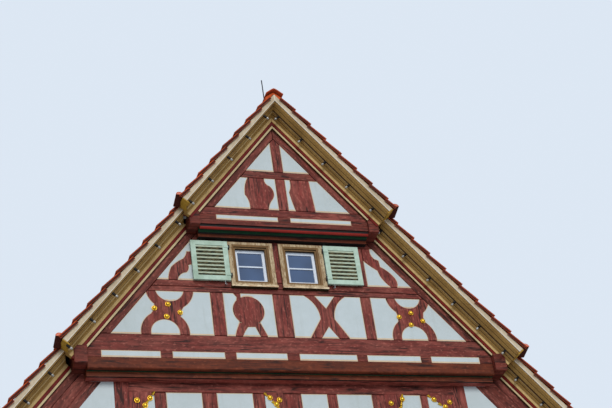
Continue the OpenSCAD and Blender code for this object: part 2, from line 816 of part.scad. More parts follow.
// Mouldings under the jetties; y runs in from the upper face, z down from the joists
top_mould_h = 259;
mould_h = 299;
module top_profile() {
  polygon(concat([[0, 0], [0, -105], [25, -105], [25, -133]],
    arc([25, -133], [36, -168], [70, -182]), arc([70, -182], [140, -176], [190, -202]),
    [[190, -top_mould_h], [jetty, -top_mould_h], [jetty, 0]]));
}
module beam_profile(out) {
  polygon(concat([[0, 0], [0, -185]], arc([0, -185], [12, -203], [35, -208], 4),
    [[out * 0.4, -208], [out * 0.4, -mould_h], [out, -mould_h], [out, 0]]));
}
// A moulding of one length along x, with its top front edge at the origin
module run_moulding(half) {
  translate([-half, 0, 0]) rotate([90, 0, 90]) linear_extrude(2 * half) children();
}
module jetty_mouldings() {
  color(oxblood) {
    both_gables() {
      translate([0, -face_5, top_z0 - top_joist_h]) run_moulding(top_purlin[0]) top_profile();
      translate([0, -face_4, middle_z0 - joist_h]) run_moulding(low_purlin[0]) beam_profile(jetty);
      translate([0, -face_3, lower_z0 - joist_h]) run_moulding(half_2) beam_profile(jetty);
      translate([0, -face_2, sill_2 - sill_h - joist_h]) run_moulding(half_2) beam_profile(low_jetty);
      translate([0, -face_1, sill_1 - sill_h - joist_h]) run_moulding(half_1) beam_profile(low_jetty);
    }
    for (a = [-90, 90]) rotate([0, 0, a]) {
      translate([0, -half_2, sill_2 - sill_h - joist_h])
        run_moulding(face_1 - seat) beam_profile(low_jetty);
      translate([0, -half_1, sill_1 - sill_h - joist_h])
        run_moulding(face_0 - seat) beam_profile(low_jetty);
    }
  }
}

// Roof. In the slope's own frame x runs down the slope from the apex of the underside
// and z is square to it
module slope(mitre = 0) {
  intersection() {
    translate([0, 0, roof_apex_z]) rotate([0, pitch, 0]) children();
    translate([mitre, -far, -far]) cube([far, 2 * far, 3 * far]);
  }
}
verge_ends = [top_verge, middle_verge, eaves_s];
verge_faces = [face_5, face_4, face_3];
up = 1000;
module roof_boards() {
  color(tan) slope() for (k = [0:2]) {
    y = verge_faces[k] + verge_out - barge_t;
    translate([-up, -y, 0]) cube([up + verge_ends[k], 2 * y, deck_t]);
  }
}
module right_roof_boards() roof_boards();
module left_roof_boards() mirror([1, 0, 0]) roof_boards();
// Side view of the tile courses, each a little over the next
module tile_profile(s1) {
  n = ceil(s1 / tile_gauge);
  polygon(concat([[-up, 0], [-up, tile_t]],
    [for (i = [0:n - 1]) for (p = [[i * tile_gauge, tile_t],
      [min((i + 1) * tile_gauge, s1 + tile_out), tile_t + tile_step]]) p],
    [[s1 + tile_out, tile_t], [s1 + tile_out, 0]]));
}
module roof_tiles() {
  color(tile_red) slope() {
    translate([0, 0, deck_t]) for (k = [0:2]) {
      y = verge_faces[k] + verge_out + tile_out;
      stand(y, 2 * y) tile_profile(verge_ends[k]);
    }
    for (k = [0, 1]) both_gables() {
      y = verge_faces[k] + verge_out + tile_out;
      translate([verge_ends[k], -y, -end_drop])
        cube([tile_t, end_tile_w, end_drop + deck_t + eps]);
    }
  }
}
module right_roof_tiles() roof_tiles();
module left_roof_tiles() mirror([1, 0, 0]) roof_tiles();
// A point of the slope's own frame, in the plane of the gable
function slope_point(s, n) =
  [s * cos(pitch) + n * sin(pitch), roof_apex_z - s * sin(pitch) + n * cos(pitch)];
// The ridge tiles, bedded in mortar on the first course of both slopes
tile_top = deck_t + tile_t + seat;
ridge_seat = roof_apex_z + tile_top / cos(pitch);
bed_s = (ridge_half - ridge_t / 2 - tile_top * sin(pitch)) / cos(pitch);
ridge_side = [[ridge_half, ridge_seat + ridge_t - ridge_rise], [ridge_half, ridge_seat - ridge_rise],
  slope_point(bed_s, tile_top + tile_step * bed_s / tile_gauge), slope_point(0, tile_top)];
module ridge_tiles() {
  y = face_5 + verge_out + tile_out;
  color(tile_red) stand(y, 2 * y) polygon(concat([[0, ridge_seat + ridge_t]], ridge_side,
    [[0, ridge_seat]], [for (i = [3:-1:0]) [-ridge_side[i][0], ridge_side[i][1]]]));
}

// Verges: s0 to s1 down the slope at each stage, all on the underside line
module verge(k) {
  s0 = k == 0 ? -up : verge_ends[k - 1] + eps;
  translate([s0, -verge_faces[k], 0]) rotate([90, 0, 90]) linear_extrude(verge_ends[k] - s0) children();
}
module barge_boards() {
  color(cream) both_gables() both_slopes() slope(eps / 2) for (k = [0:2])
    verge(k) translate([-verge_out, 0]) square([barge_t, deck_t]);
}
// The soffit has an upright board near the wall and slopes up from it to the barge board
soffit_board = 75;
soffit_out = verge_out - barge_t;
soffit_deep = soffit_h * 0.58;
function soffit_n(q) = -soffit_deep * (soffit_out - q) / (soffit_out - soffit_board);
module verge_soffits() {
  color(tan) less_purlins() both_gables() both_slopes() slope(eps / 2) for (k = [0:2])
    verge(k) polygon([[0, 0], [0, -soffit_h], [-soffit_board, -soffit_h],
      [-soffit_board, soffit_n(soffit_board)], [-soffit_out, 0]]);
}
// Boards that close the soffit where a verge steps back, beside the end tiles
end_gap = 1;
module verge_end_boards() {
  q0 = verge_out + tile_out - end_tile_w;
  q1 = verge_out + tile_out - jetty + end_gap;
  color(tan) both_gables() both_slopes() slope() for (k = [0, 1])
    translate([verge_ends[k], -verge_faces[k], 0]) rotate([90, 0, 90]) linear_extrude(end_board_t)
      polygon([[-q0, soffit_n(q0)], [-q1, soffit_n(q1)], [-q1, deck_t], [-q0, deck_t]]);
}
module verge_strips() {
  color(cream) less_purlins() both_gables() both_slopes() slope(eps / 2) for (k = [0:2])
    verge(k) {
      translate([-62, -soffit_h - strip_h]) square([62, strip_h]);
      translate([-48, -soffit_h - 2 * strip_h]) square([48, strip_h]);
    }
}

module front_window_surrounds() {
  color(tan) {
    surrounds(gable_windows, face_4, wall_t);
    surrounds(lower_windows, face_3, wall_t);
    surrounds(windows_2, face_2, wall_t);
    surrounds(windows_1, face_1, wall_t);
    surrounds(ground_windows, face_0, masonry_t);
  }
}
module back_window_surrounds() mirror([0, 1, 0]) front_window_surrounds();
module side_window_surrounds() {
  color(tan) for (a = [-90, 90]) rotate([0, 0, a]) {
    surrounds(side_windows_2, half_2, wall_t);
    surrounds(side_windows_1, half_1, wall_t);
    surrounds(ground_side_windows, half_0, masonry_t);
  }
}
module casements() color(white) at_each_window() casement($w);
module window_glass() color(glass_blue) at_each_window() pane($w);

// Shutters, open flat against the wall and hung beside the gable windows
hinge_in = 8;
hinge_y = face_4 + surround_out + shutter_t;
left_hinge_x = gable_windows[0][0] - gable_win_w / 2 + hinge_in;
right_hinge_x = gable_windows[1][0] + gable_win_w / 2 - hinge_in;
shutter_z = sill_4 + 1045;
knuckle_z = [110, shutter_h - 110];
// Drawn opening towards +x, with the hinge axis on the origin
hinge_reach = 22;
strap_t = 10;
knuckle_h = 50;
knuckle_wall = 6;
// How far the slats stay behind the faces of the frame
slat_in = 1.5;
module shutter() {
  back = hinge_in;
  difference() {
    translate([hinge_reach, back, 0]) cube([shutter_w, shutter_t, shutter_h]);
    translate([hinge_reach + stile_w, -far, stile_w])
      cube([shutter_w - 2 * stile_w, 2 * far, shutter_h - 2 * stile_w]);
  }
  open_h = shutter_h - 2 * stile_w;
  slat_w = (shutter_t - 2 * slat_in - slat_t * sin(slat_tilt)) / cos(slat_tilt);
  for (i = [0:slats - 1])
    translate([hinge_reach + stile_w - 2, back + shutter_t / 2, stile_w + (i + 0.5) * open_h / slats])
      rotate([-slat_tilt, 0, 0]) translate([0, -slat_w / 2, -slat_t / 2])
        cube([shutter_w - 2 * stile_w + 4, slat_w, slat_t]);
  for (z = knuckle_z) translate([0, 0, z]) difference() {
    union() {
      cylinder(d = pin_d + 2 * knuckle_wall, h = knuckle_h, center = true);
      translate([0, back - strap_t, -knuckle_h * 0.4]) cube([hinge_reach + 70, strap_t, knuckle_h * 0.8]);
    }
    cylinder(d = pin_d + 1, h = knuckle_h + 2 * eps, center = true);
  }
}
module left_shutter() {
  color(mint) translate([left_hinge_x, -hinge_y, shutter_z]) mirror([1, 0, 0]) shutter();
}
module right_shutter() {
  color(mint) translate([right_hinge_x, -hinge_y, shutter_z]) shutter();
}
module shutter_pins() {
  color(iron) for (x = [left_hinge_x, right_hinge_x]) for (z = knuckle_z) {
    translate([x, -hinge_y, shutter_z + z - 35]) cylinder(d = pin_d, h = 70);
    translate([x - pin_d / 2, -hinge_y, shutter_z + z - 45]) cube([pin_d, hinge_y - face_4 - surround_out, 14]);
  }
}
// The rod stands on the ridge tiles, a little to the left
rod_x = -80;
rod_y = face_5 + 60;
rod_d = 20;
rod_h = 530;
module lightning_rod() {
  color(iron) difference() {
    translate([rod_x, -rod_y, ridge_seat - ridge_rise]) cylinder(d = rod_d, h = rod_h + ridge_rise);
    stand(face_5 + verge_out, 2 * face_5) polygon([[0, 0], [0, ridge_seat + ridge_t],
      [-ridge_side[0][0], ridge_side[0][1]], [-ridge_half, 0]]);
  }
}

ground_front_wall();
ground_back_wall();
ground_left_wall();
ground_right_wall();
ground_floor();
door_arch();
front_door();
first_floor();
second_floor();
attic_floor();
upper_attic_floor();
loft_floor();
front_first_frame();
front_second_frame();
front_lower_gable_frame();
front_middle_gable_frame();
front_top_gable_frame();
back_storey_frames();
back_gable_frames();
left_side_frames();
right_side_frames();
front_storey_infill();
front_gable_infill();
back_storey_infill();
back_gable_infill();
left_side_infill();
right_side_infill();
cross_knobs();
jetty_mouldings();
purlins();
left_roof_boards();
right_roof_boards();
left_roof_tiles();
right_roof_tiles();
ridge_tiles();
barge_boards();
verge_soffits();
verge_end_boards();
verge_strips();
front_window_surrounds();
back_window_surrounds();
side_window_surrounds();
casements();
window_glass();
left_shutter();
right_shutter();
shutter_pins();
lightning_rod();
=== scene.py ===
import math
import random

import bmesh
import bpy
from mathutils import Matrix, Vector


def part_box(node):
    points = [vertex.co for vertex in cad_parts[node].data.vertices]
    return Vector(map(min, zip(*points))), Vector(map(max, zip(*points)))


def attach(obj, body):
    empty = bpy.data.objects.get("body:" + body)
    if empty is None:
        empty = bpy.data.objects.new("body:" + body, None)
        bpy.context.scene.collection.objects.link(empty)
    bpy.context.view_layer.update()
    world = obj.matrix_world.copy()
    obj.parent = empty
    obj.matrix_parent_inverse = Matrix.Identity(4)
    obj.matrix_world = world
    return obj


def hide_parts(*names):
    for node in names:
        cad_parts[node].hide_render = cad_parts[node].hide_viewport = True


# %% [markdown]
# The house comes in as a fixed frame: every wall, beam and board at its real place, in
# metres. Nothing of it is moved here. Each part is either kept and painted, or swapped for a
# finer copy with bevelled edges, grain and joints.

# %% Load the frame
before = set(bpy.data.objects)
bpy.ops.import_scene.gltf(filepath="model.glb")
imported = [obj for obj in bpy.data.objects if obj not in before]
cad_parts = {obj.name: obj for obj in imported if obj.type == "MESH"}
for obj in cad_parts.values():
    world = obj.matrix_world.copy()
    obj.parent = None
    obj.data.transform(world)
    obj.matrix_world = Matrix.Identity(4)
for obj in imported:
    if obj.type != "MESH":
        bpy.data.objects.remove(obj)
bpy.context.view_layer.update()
scene = bpy.context.scene
scene.view_settings.view_transform = "Standard"
random.seed(7)

# %% [markdown]
# The camera stands where the photographer stood: at eye height, a little left of the gable,
# looking up through a long lens. Its three axes were solved once from the corners of the
# gable, so they are written down here as directions.

# %% Camera
EYE = Vector((-7.501, -26.021, 1.588))
RIGHT = Vector((0.9496, -0.2850, -0.1307))
UP = Vector((-0.0515, -0.5531, 0.8316))
LENS = 84.26
SENSOR = 36


def aim_camera():
    data = bpy.data.cameras.new("camera")
    data.lens = LENS
    data.sensor_width = SENSOR
    data.clip_end = 2000
    camera = bpy.data.objects.new("camera", data)
    scene.collection.objects.link(camera)
    right = RIGHT.normalized()
    back = right.cross(UP).normalized()
    up = back.cross(right)
    camera.matrix_world = Matrix.LocRotScale(EYE, Matrix((right, up, back)).transposed(), None)
    scene.camera = camera
    print("camera looks along", [round(x, 3) for x in -back])


aim_camera()

# %% [markdown]
# Light: a pale sky all round, one broad soft sun from the front, and a pale floor that
# throws light up under the eaves. The sky's strength stays low enough for white plaster to
# keep its tone, and the sun stands low, so that the jetties throw no deep shadow. What the
# camera and the glass see of the sky is a plain pale blue grey.

# %% Light and floor
SKY = (0.80, 0.88, 1.0, 1)
SKY_SEEN = (0.72, 0.80, 0.90, 1)
SKY_STRENGTH = 0.62
SUN_STRENGTH = 1.75
SUN_SPREAD = math.radians(30)
SUN_TURN = (math.radians(67), 0, math.radians(-5))
SUN_TINT = (1.0, 0.96, 0.90)
FLOOR_TONE = (0.62, 0.61, 0.59, 1)


def light_scene():
    world = bpy.data.worlds.new("sky")
    scene.world = world
    world.use_nodes = True
    tree = world.node_tree
    light = tree.nodes["Background"]
    light.inputs["Color"].default_value = SKY
    light.inputs["Strength"].default_value = SKY_STRENGTH
    seen = tree.nodes.new("ShaderNodeBackground")
    seen.inputs["Color"].default_value = SKY_SEEN
    rays = tree.nodes.new("ShaderNodeLightPath")
    either = rays.outputs["Is Camera Ray"]
    for kind in ("Is Glossy Ray", "Is Transmission Ray"):
        pick = tree.nodes.new("ShaderNodeMath")
        pick.operation = "MAXIMUM"
        tree.links.new(either, pick.inputs[0])
        tree.links.new(rays.outputs[kind], pick.inputs[1])
        either = pick.outputs[0]
    both = tree.nodes.new("ShaderNodeMixShader")
    tree.links.new(either, both.inputs[0])
    tree.links.new(light.outputs[0], both.inputs[1])
    tree.links.new(seen.outputs[0], both.inputs[2])
    tree.links.new(both.outputs[0], tree.nodes["World Output"].inputs["Surface"])
    sun_data = bpy.data.lights.new("sun", "SUN")
    sun_data.energy = SUN_STRENGTH
    sun_data.angle = SUN_SPREAD
    sun_data.color = SUN_TINT
    sun = bpy.data.objects.new("sun", sun_data)
    sun.rotation_euler = SUN_TURN
    scene.collection.objects.link(sun)


light_scene()

# %% [markdown]
# A material is a small tree of nodes. The helpers below keep each finish short: they add a
# noise, squeeze it between two limits, mix two colours by it, and turn it into a bump.
# Colours are written as the eye reads them, from 0 to 255, and changed to linear light.

# %% Node helpers


def tone(red, green, blue):
    """A colour in linear light from the values that a screen shows."""
    parts = [c / 255 for c in (red, green, blue)]
    return [c / 12.92 if c < 0.04045 else ((c + 0.055) / 1.055) ** 2.4 for c in parts] + [1.0]


class Finish:
    """A material being built: its node tree, its shader and its current colour."""

    def __init__(self, name, roughness, base, metallic=0.0, gloss=0.2):
        self.material = bpy.data.materials.new(name)
        self.material.use_nodes = True
        self.tree = self.material.node_tree
        self.shader = self.tree.nodes["Principled BSDF"]
        self.shader.inputs["Roughness"].default_value = roughness
        self.shader.inputs["Metallic"].default_value = metallic
        self.shader.inputs["Specular IOR Level"].default_value = gloss
        self.shader.inputs["Base Color"].default_value = base
        self.colour = base

    def node(self, kind, **settings):
        made = self.tree.nodes.new("ShaderNode" + kind)
        for key, value in settings.items():
            setattr(made, key, value)
        return made

    def feed(self, socket, value):
        """Sets a socket to a number, or links it where value is another socket."""
        if isinstance(value, bpy.types.NodeSocket):
            self.tree.links.new(value, socket)
        else:
            socket.default_value = value

    def place(self, scale=(1, 1, 1), attribute=None):
        """Coordinates in metres, stretched by scale; attribute names a stored vector."""
        if attribute:
            source = self.node("Attribute", attribute_name=attribute).outputs["Vector"]
        else:
            source = self.node("TexCoord").outputs["Object"]
        mapping = self.node("Mapping")
        self.feed(mapping.inputs["Vector"], source)
        mapping.inputs["Scale"].default_value = scale
        return mapping.outputs["Vector"]

    def maths(self, operation, *values):
        made = self.node("Math", operation=operation)
        for socket, value in zip(made.inputs, values):
            self.feed(socket, value)
        return made.outputs[0]

    def raw_noise(self, vector, scale, detail):
        made = self.node("TexNoise")
        self.feed(made.inputs["Vector"], vector)
        made.inputs["Scale"].default_value = scale
        made.inputs["Detail"].default_value = detail
        return made.outputs["Fac"]

    def noise(self, vector, scale, low=0.35, high=0.65, detail=3.0):
        """A noise from 0 to 1, with its soft middle squeezed between low and high."""
        return self.between(self.raw_noise(vector, scale, detail), low, high)

    def ridges(self, vector, scale, width, detail=2.0):
        """Thin winding lines, where a noise crosses its middle value."""
        shifted = self.maths("SUBTRACT", self.raw_noise(vector, scale, detail), 0.5)
        return self.between(self.maths("ABSOLUTE", shifted), width, width * 0.3)

    def between(self, value, low, high):
        squeeze = self.node("MapRange")
        self.feed(squeeze.inputs["Value"], value)
        squeeze.inputs["From Min"].default_value = low
        squeeze.inputs["From Max"].default_value = high
        return squeeze.outputs["Result"]

    def stored(self, attribute):
        return self.node("Attribute", attribute_name=attribute).outputs["Fac"]

    def times(self, a, b):
        return self.maths("MULTIPLY", a, b)

    def stain(self, factor, colour, strength=1.0):
        """Paints colour over what is there, where factor is high."""
        mixer = self.node("Mix", data_type="RGBA")
        self.feed(mixer.inputs["Factor"], self.times(factor, strength))
        self.feed(mixer.inputs["A"], self.colour)
        self.feed(mixer.inputs["B"], colour)
        self.colour = mixer.outputs["Result"]

    def bump(self, height, strength, distance):
        made = self.node("Bump")
        made.inputs["Strength"].default_value = strength
        made.inputs["Distance"].default_value = distance
        self.feed(made.inputs["Height"], height)
        if self.shader.inputs["Normal"].links:
            self.feed(made.inputs["Normal"], self.shader.inputs["Normal"].links[0].from_socket)
        self.feed(self.shader.inputs["Normal"], made.outputs["Normal"])

    def done(self):
        self.feed(self.shader.inputs["Base Color"], self.colour)
        return self.material


# %% [markdown]
# The timbers carry old oxblood paint. Paint on oak shows the grain below it as dark streaks,
# opens in winding cracks along the fibres, and bleaches to pink where the sun lies on it.
# Every member stores its own run of the grain as a vector, so the pattern follows a post
# upwards and a rail sideways, and a tone: rafters are the brownest, posts the pinkest.

# %% Timber paint


def timber_paint(name, base, dark, worn, attribute="grain", brown=tone(86, 38, 26)):
    made = Finish(name, 0.6, base)
    streaks = made.noise(made.place((1.2, 13, 13), attribute), 1.5, 0.42, 0.60, 5)
    patches = made.noise(made.place((1.1, 3.4, 3.4), attribute), 1.6, 0.42, 0.62, 4)
    blotches = made.noise(made.place((5, 9, 9), attribute), 2.0, 0.50, 0.66, 4)
    specks = made.noise(made.place((7, 14, 14), attribute), 2.0, 0.58, 0.68, 3)
    cracks = made.ridges(made.place((0.5, 8, 8), attribute), 1.5, 0.040)
    gaps = made.noise(made.place((1.6, 5, 5), attribute), 1.2, 0.44, 0.56)
    if attribute:
        made.stain(made.stored("tone"), brown, 0.8)
    made.stain(patches, worn, 0.40)
    made.stain(streaks, dark, 0.50)
    made.stain(blotches, dark, 0.45)
    made.stain(specks, worn, 0.65)
    made.stain(made.times(cracks, gaps), tone(26, 8, 6), 0.85)
    made.bump(streaks, 0.4, 0.005)
    made.bump(made.times(cracks, gaps), -0.7, 0.008)
    return made.done()


OXBLOOD = timber_paint("oxblood_timber", tone(132, 56, 50), tone(60, 22, 16), tone(162, 94, 82))
OXBLOOD_PLAIN = timber_paint(
    "oxblood_plain", tone(110, 46, 36), tone(60, 22, 16), tone(132, 72, 60), attribute=None)
JETTY_BROWN = timber_paint(
    "jetty_brown", tone(100, 42, 20), tone(56, 20, 8), tone(124, 62, 38), attribute=None)
# Painted light: a lighter oxblood for the undersides of the lower jetty mouldings, which face down
# into shade, so that they look as bright as the plates.
OXBLOOD_LIT_UNDERSIDE = timber_paint(
    "oxblood_painted_light_underside", tone(156, 74, 64), tone(100, 42, 34), tone(176, 104, 92), attribute=None)
print("timber paints", OXBLOOD.name, OXBLOOD_PLAIN.name, JETTY_BROWN.name)

# %% [markdown]
# The panels are smooth lime plaster, trowelled by hand: cool white, faintly clouded, with
# very fine grain and a few grey runs under the rails. Around each panel runs a narrow band
# that the painter left in a warmer tone.

# %% Plaster, render and stone


def plaster_finish(name, base, shade, run_tone, grain=60):
    made = Finish(name, 0.85, base)
    clouds = made.noise(made.place(), 1.6, 0.36, 0.68, 4)
    small = made.noise(made.place(), 9, 0.38, 0.70, 4)
    runs = made.noise(made.place((5, 5, 0.5)), 1.8, 0.56, 0.78, 3)
    made.stain(clouds, shade, 0.45)
    made.stain(small, shade, 0.25)
    made.stain(runs, run_tone, 0.30)
    made.bump(small, 0.25, 0.006)
    made.bump(made.noise(made.place(), grain, 0.3, 0.7, 2), 0.15, 0.002)
    return made.done()


PLASTER = plaster_finish(
    "white_plaster", tone(192, 204, 209), tone(176, 188, 190), tone(160, 166, 160))
PANEL_EDGE = plaster_finish(
    "panel_edge", tone(208, 190, 164), tone(186, 158, 130), tone(140, 112, 92))
RENDER = plaster_finish(
    "ground_render", tone(222, 214, 194), tone(198, 188, 164), tone(160, 150, 130), 35)
STONE = plaster_finish(
    "sandstone", tone(188, 168, 134), tone(158, 136, 104), tone(128, 112, 90), 24)
print("plasters", PLASTER.name, RENDER.name, STONE.name)

# %% [markdown]
# Boards, window wood and shutters are painted too, but by brush on planed wood: the coat is
# smoother, with long brush marks and a little dirt in them. One helper makes them all, and
# only the tones and the gloss change.

# %% Painted boards


def board_paint(name, base, dirt, roughness=0.55, along=(1, 1, 1), strength=0.4):
    made = Finish(name, roughness, base)
    brush = made.noise(made.place(along), 14, 0.36, 0.70, 4)
    dirty = made.noise(made.place(), 2.1, 0.48, 0.74, 4)
    made.stain(brush, dirt, strength * 0.6)
    made.stain(dirty, dirt, strength)
    made.bump(brush, 0.2, 0.003)
    return made.done()


SOFFIT = board_paint("tan_soffit", tone(180, 144, 82), tone(114, 80, 34), 0.6, (3, 3, 1), 0.6)
BARGE = board_paint("cream_barge", tone(202, 190, 166), tone(150, 130, 100), 0.6, (2, 2, 1), 0.6)
STRIP_PALE = board_paint("beige_strip", tone(200, 184, 144), tone(150, 124, 84))
STRIP_RED = board_paint("dark_red_strip", tone(112, 12, 6), tone(56, 6, 4))
OCHRE = board_paint("ochre_end", tone(176, 138, 48), tone(120, 84, 30))
WHITE = board_paint("white_gloss", tone(220, 230, 244), tone(184, 198, 214), 0.32)
MINT = board_paint("mint_shutter", tone(182, 206, 192), tone(120, 146, 124), 0.5, strength=0.6)
RED_ROLL = board_paint("red_roll", tone(150, 40, 32), tone(96, 22, 18), 0.45)
GREEN_HOLLOW = board_paint("green_hollow", tone(20, 66, 44), tone(8, 28, 20), 0.5)
BLACK_LINE = board_paint("black_line", tone(24, 20, 20), tone(10, 8, 8), 0.6)


def cracked_wood(name, base, stained, along):
    """Bare weathered wood: bleached, with brown stains and dark cracks along it."""
    made = Finish(name, 0.75, base)
    made.stain(made.noise(made.place(along), 6, 0.42, 0.62, 4), stained, 0.75)
    made.stain(made.noise(made.place(), 9, 0.52, 0.66, 4), tone(120, 84, 50), 0.5)
    cracks = made.ridges(made.place(along), 5, 0.022, 3)
    made.stain(cracks, tone(72, 44, 26), 0.7)
    made.bump(cracks, -0.5, 0.004)
    return made.done()


SILL_WOOD = cracked_wood("worn_sill", tone(222, 204, 172), tone(176, 136, 96), (1, 4, 6))
SURROUND = cracked_wood("window_wood", tone(192, 174, 142), tone(146, 118, 84), (7, 7, 1))
print("board paints made")

# %% Tiles, metal, glass


def tile_finish(name, base, dark, pale):
    """Fired clay: each tile has its own stored tone, with soot and lichen over all."""
    made = Finish(name, 0.78, base)
    made.stain(made.stored("tone"), dark, 0.75)
    soot = made.noise(made.place(), 2.4, 0.45, 0.72, 5)
    lichen = made.noise(made.place(), 21, 0.66, 0.74, 3)
    made.stain(soot, tone(70, 34, 26), 0.45)
    made.stain(lichen, pale, 0.5)
    made.bump(made.noise(made.place(), 55, 0.3, 0.7, 3), 0.3, 0.003)
    return made.done()


def plain_metal(name, base, roughness, metallic=1.0):
    made = Finish(name, roughness, base, metallic)
    made.stain(made.noise(made.place(), 40, 0.4, 0.7), [c * 0.55 for c in base[:3]] + [1], 0.6)
    return made.done()


TILE = tile_finish("roof_clay", tone(206, 92, 46), tone(140, 52, 30), tone(176, 150, 110))
MORTAR = plaster_finish(
    "ridge_mortar", tone(214, 96, 44), tone(170, 66, 34), tone(120, 60, 40), 40)
GOLD = plain_metal("gold_leaf", tone(232, 186, 62), 0.34)
IRON = plain_metal("black_iron", tone(52, 52, 55), 0.5, 0.8)
ZINC = plain_metal("zinc", tone(128, 132, 136), 0.42, 0.9)


def window_glass():
    # The glass is opaque: its dark blue, clouded darker by the waves, stands in for the dim room
    # behind it and the sky mirrored in it, as painted shade and painted reflection; the clear coat
    # adds a real reflection.
    made = Finish("window_glass", 0.06, tone(66, 90, 128), gloss=0.4)
    waves = made.noise(made.place(), 2.2, 0.3, 0.7, 1)
    made.stain(waves, tone(52, 70, 100), 0.7)
    made.bump(waves, 0.12, 0.004)
    made.shader.inputs["Coat Weight"].default_value = 0.5
    made.shader.inputs["Coat Roughness"].default_value = 0.03
    return made.done()


GLASS = window_glass()


def lamp_glass():
    made = Finish("bulb_glass", 0.08, tone(160, 160, 156))
    made.stain(made.noise(made.place(), 30, 0.4, 0.6), tone(104, 100, 92), 0.6)
    made.shader.inputs["Coat Weight"].default_value = 1.0
    return made.done()


BULB = lamp_glass()
print("tile, metal and glass made")

# %% [markdown]
# Each kept node gets its finish by name: infill is plaster, and what the table doesn't name
# is painted wood. Later cells swap most of these nodes for finer pieces.

# %% Paint the frame
FINISHES = {
    "ground_front_wall": RENDER, "ground_back_wall": RENDER, "ground_left_wall": RENDER,
    "ground_right_wall": RENDER, "ground_floor": STONE, "door_arch": STONE,
    "left_roof_boards": SOFFIT, "right_roof_boards": SOFFIT, "ridge_tiles": TILE,
    "left_roof_tiles": TILE, "right_roof_tiles": TILE,
    "barge_boards": BARGE, "verge_soffits": SOFFIT, "verge_strips": STRIP_PALE,
    "front_window_surrounds": SURROUND, "back_window_surrounds": SURROUND,
    "side_window_surrounds": SURROUND, "casements": WHITE, "window_glass": GLASS,
    "left_shutter": MINT, "right_shutter": MINT, "shutter_pins": IRON, "lightning_rod": IRON,
}
for name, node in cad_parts.items():
    finish = FINISHES.get(name, PLASTER if name.endswith("infill") else OXBLOOD_PLAIN)
    node.data.materials.clear()
    node.data.materials.append(finish)
print(len(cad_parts), "nodes painted")


# %% [markdown]
# A finer piece starts either from a copy of a frame node or from boxes and turned forms. The
# helpers below finish a piece: they hang it on its body, give it its materials and say how
# many faces it has. A copy is merged first, because the frame's corners come in split.

# %% Piece helpers
UP_AXIS = Vector((0, 0, 1))
SHARP = math.radians(28)


def mesh_of(name, bm):
    """The bmesh as a mesh; the bmesh is freed."""
    mesh = bpy.data.meshes.new(name)
    bm.to_mesh(mesh)
    bm.free()
    return mesh


def everything(bm):
    return bm.verts[:] + bm.edges[:] + bm.faces[:]


def with_rims(faces):
    """The faces with their edges and corners, as the cutting operators take them."""
    parts = {e for f in faces for e in f.edges} | {v for f in faces for v in f.verts}
    return list(parts | set(faces))


def merge_flat(bm):
    """Dissolves the lines that only divide flat faces."""
    bmesh.ops.dissolve_limit(bm, angle_limit=math.radians(1), verts=bm.verts, edges=bm.edges)


def paint_around(corners, material):
    """Gives the faces at the corners a material, and returns them."""
    faces = {f for v in corners for f in v.link_faces}
    for face in faces:
        face.material_index = material
    return faces


def finished(name, bm, materials, body="house", replaces=()):
    """Makes the bmesh a piece of the house that rides on its body."""
    bm.normal_update()
    return hung(name, mesh_of(name, bm), materials, body, replaces)


def hung(name, mesh, materials, body="house", replaces=()):
    if "custom_normal" in mesh.attributes:
        mesh.attributes.remove(mesh.attributes["custom_normal"])
    for material in materials:
        mesh.materials.append(material)
    piece = bpy.data.objects.new(name, mesh)
    scene.collection.objects.link(piece)
    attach(piece, body)
    if replaces:
        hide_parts(*replaces)
    print(name, len(mesh.polygons), "faces")
    return piece


def copy_of(node, whole=True):
    """The node's mesh with merged corners and, where whole is set, undivided flat faces."""
    bm = bmesh.new()
    bm.from_mesh(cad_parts[node].data)
    bmesh.ops.remove_doubles(bm, verts=bm.verts, dist=1e-5)
    if whole:
        merge_flat(bm)
    for face in bm.faces:
        face.material_index = 0
        face.smooth = False
    return bm


def soften(bm, width, segments=1, sharp=SHARP, edges=None):
    """Rounds the sharp edges, as planed and painted wood has them."""
    chosen = [e for e in (edges or bm.edges) if e.is_manifold and e.calc_face_angle() > sharp]
    bmesh.ops.bevel(bm, geom=chosen, offset=width, affect="EDGES", segments=segments,
                    profile=0.5, material=-1, clamp_overlap=True)


def block(bm, low, high, place=Matrix(), material=0, round_by=0.0, segments=1):
    """A box between two corners, with rounded edges, set in place."""
    low, high = Vector(low), Vector(high)
    centre = Matrix.Translation((low + high) / 2)
    size = Matrix.Diagonal((*(high - low), 1))
    corners = bmesh.ops.create_cube(bm, size=1, matrix=place @ centre @ size)["verts"]
    paint_around(corners, material)
    if round_by:
        edges = list({e for v in corners for e in v.link_edges})
        bmesh.ops.bevel(bm, geom=edges, offset=round_by, affect="EDGES", segments=segments,
                        profile=0.5, material=-1, clamp_overlap=True)


def turned_to(along):
    """The turn that brings the upward axis to a direction."""
    return along.to_track_quat("Z", "Y").to_matrix().to_4x4()


def rod(bm, start, end, radius, segments=12, material=0, end_radius=None):
    """A round bar between two points."""
    start, end = Vector(start), Vector(end)
    along = end - start
    place = Matrix.Translation((start + end) / 2) @ turned_to(along)
    made = bmesh.ops.create_cone(bm, cap_ends=True, segments=segments, radius1=radius,
                                 radius2=radius if end_radius is None else end_radius,
                                 depth=along.length, matrix=place)
    paint_around(made["verts"], material)


def mirror_copies(bm, axes):
    """Adds the mirror image across each axis in turn, and turns all faces outward again."""
    for axis in axes:
        bmesh.ops.mirror(bm, geom=everything(bm), axis=axis, merge_dist=1e-6)
    bmesh.ops.recalc_face_normals(bm, faces=bm.faces)


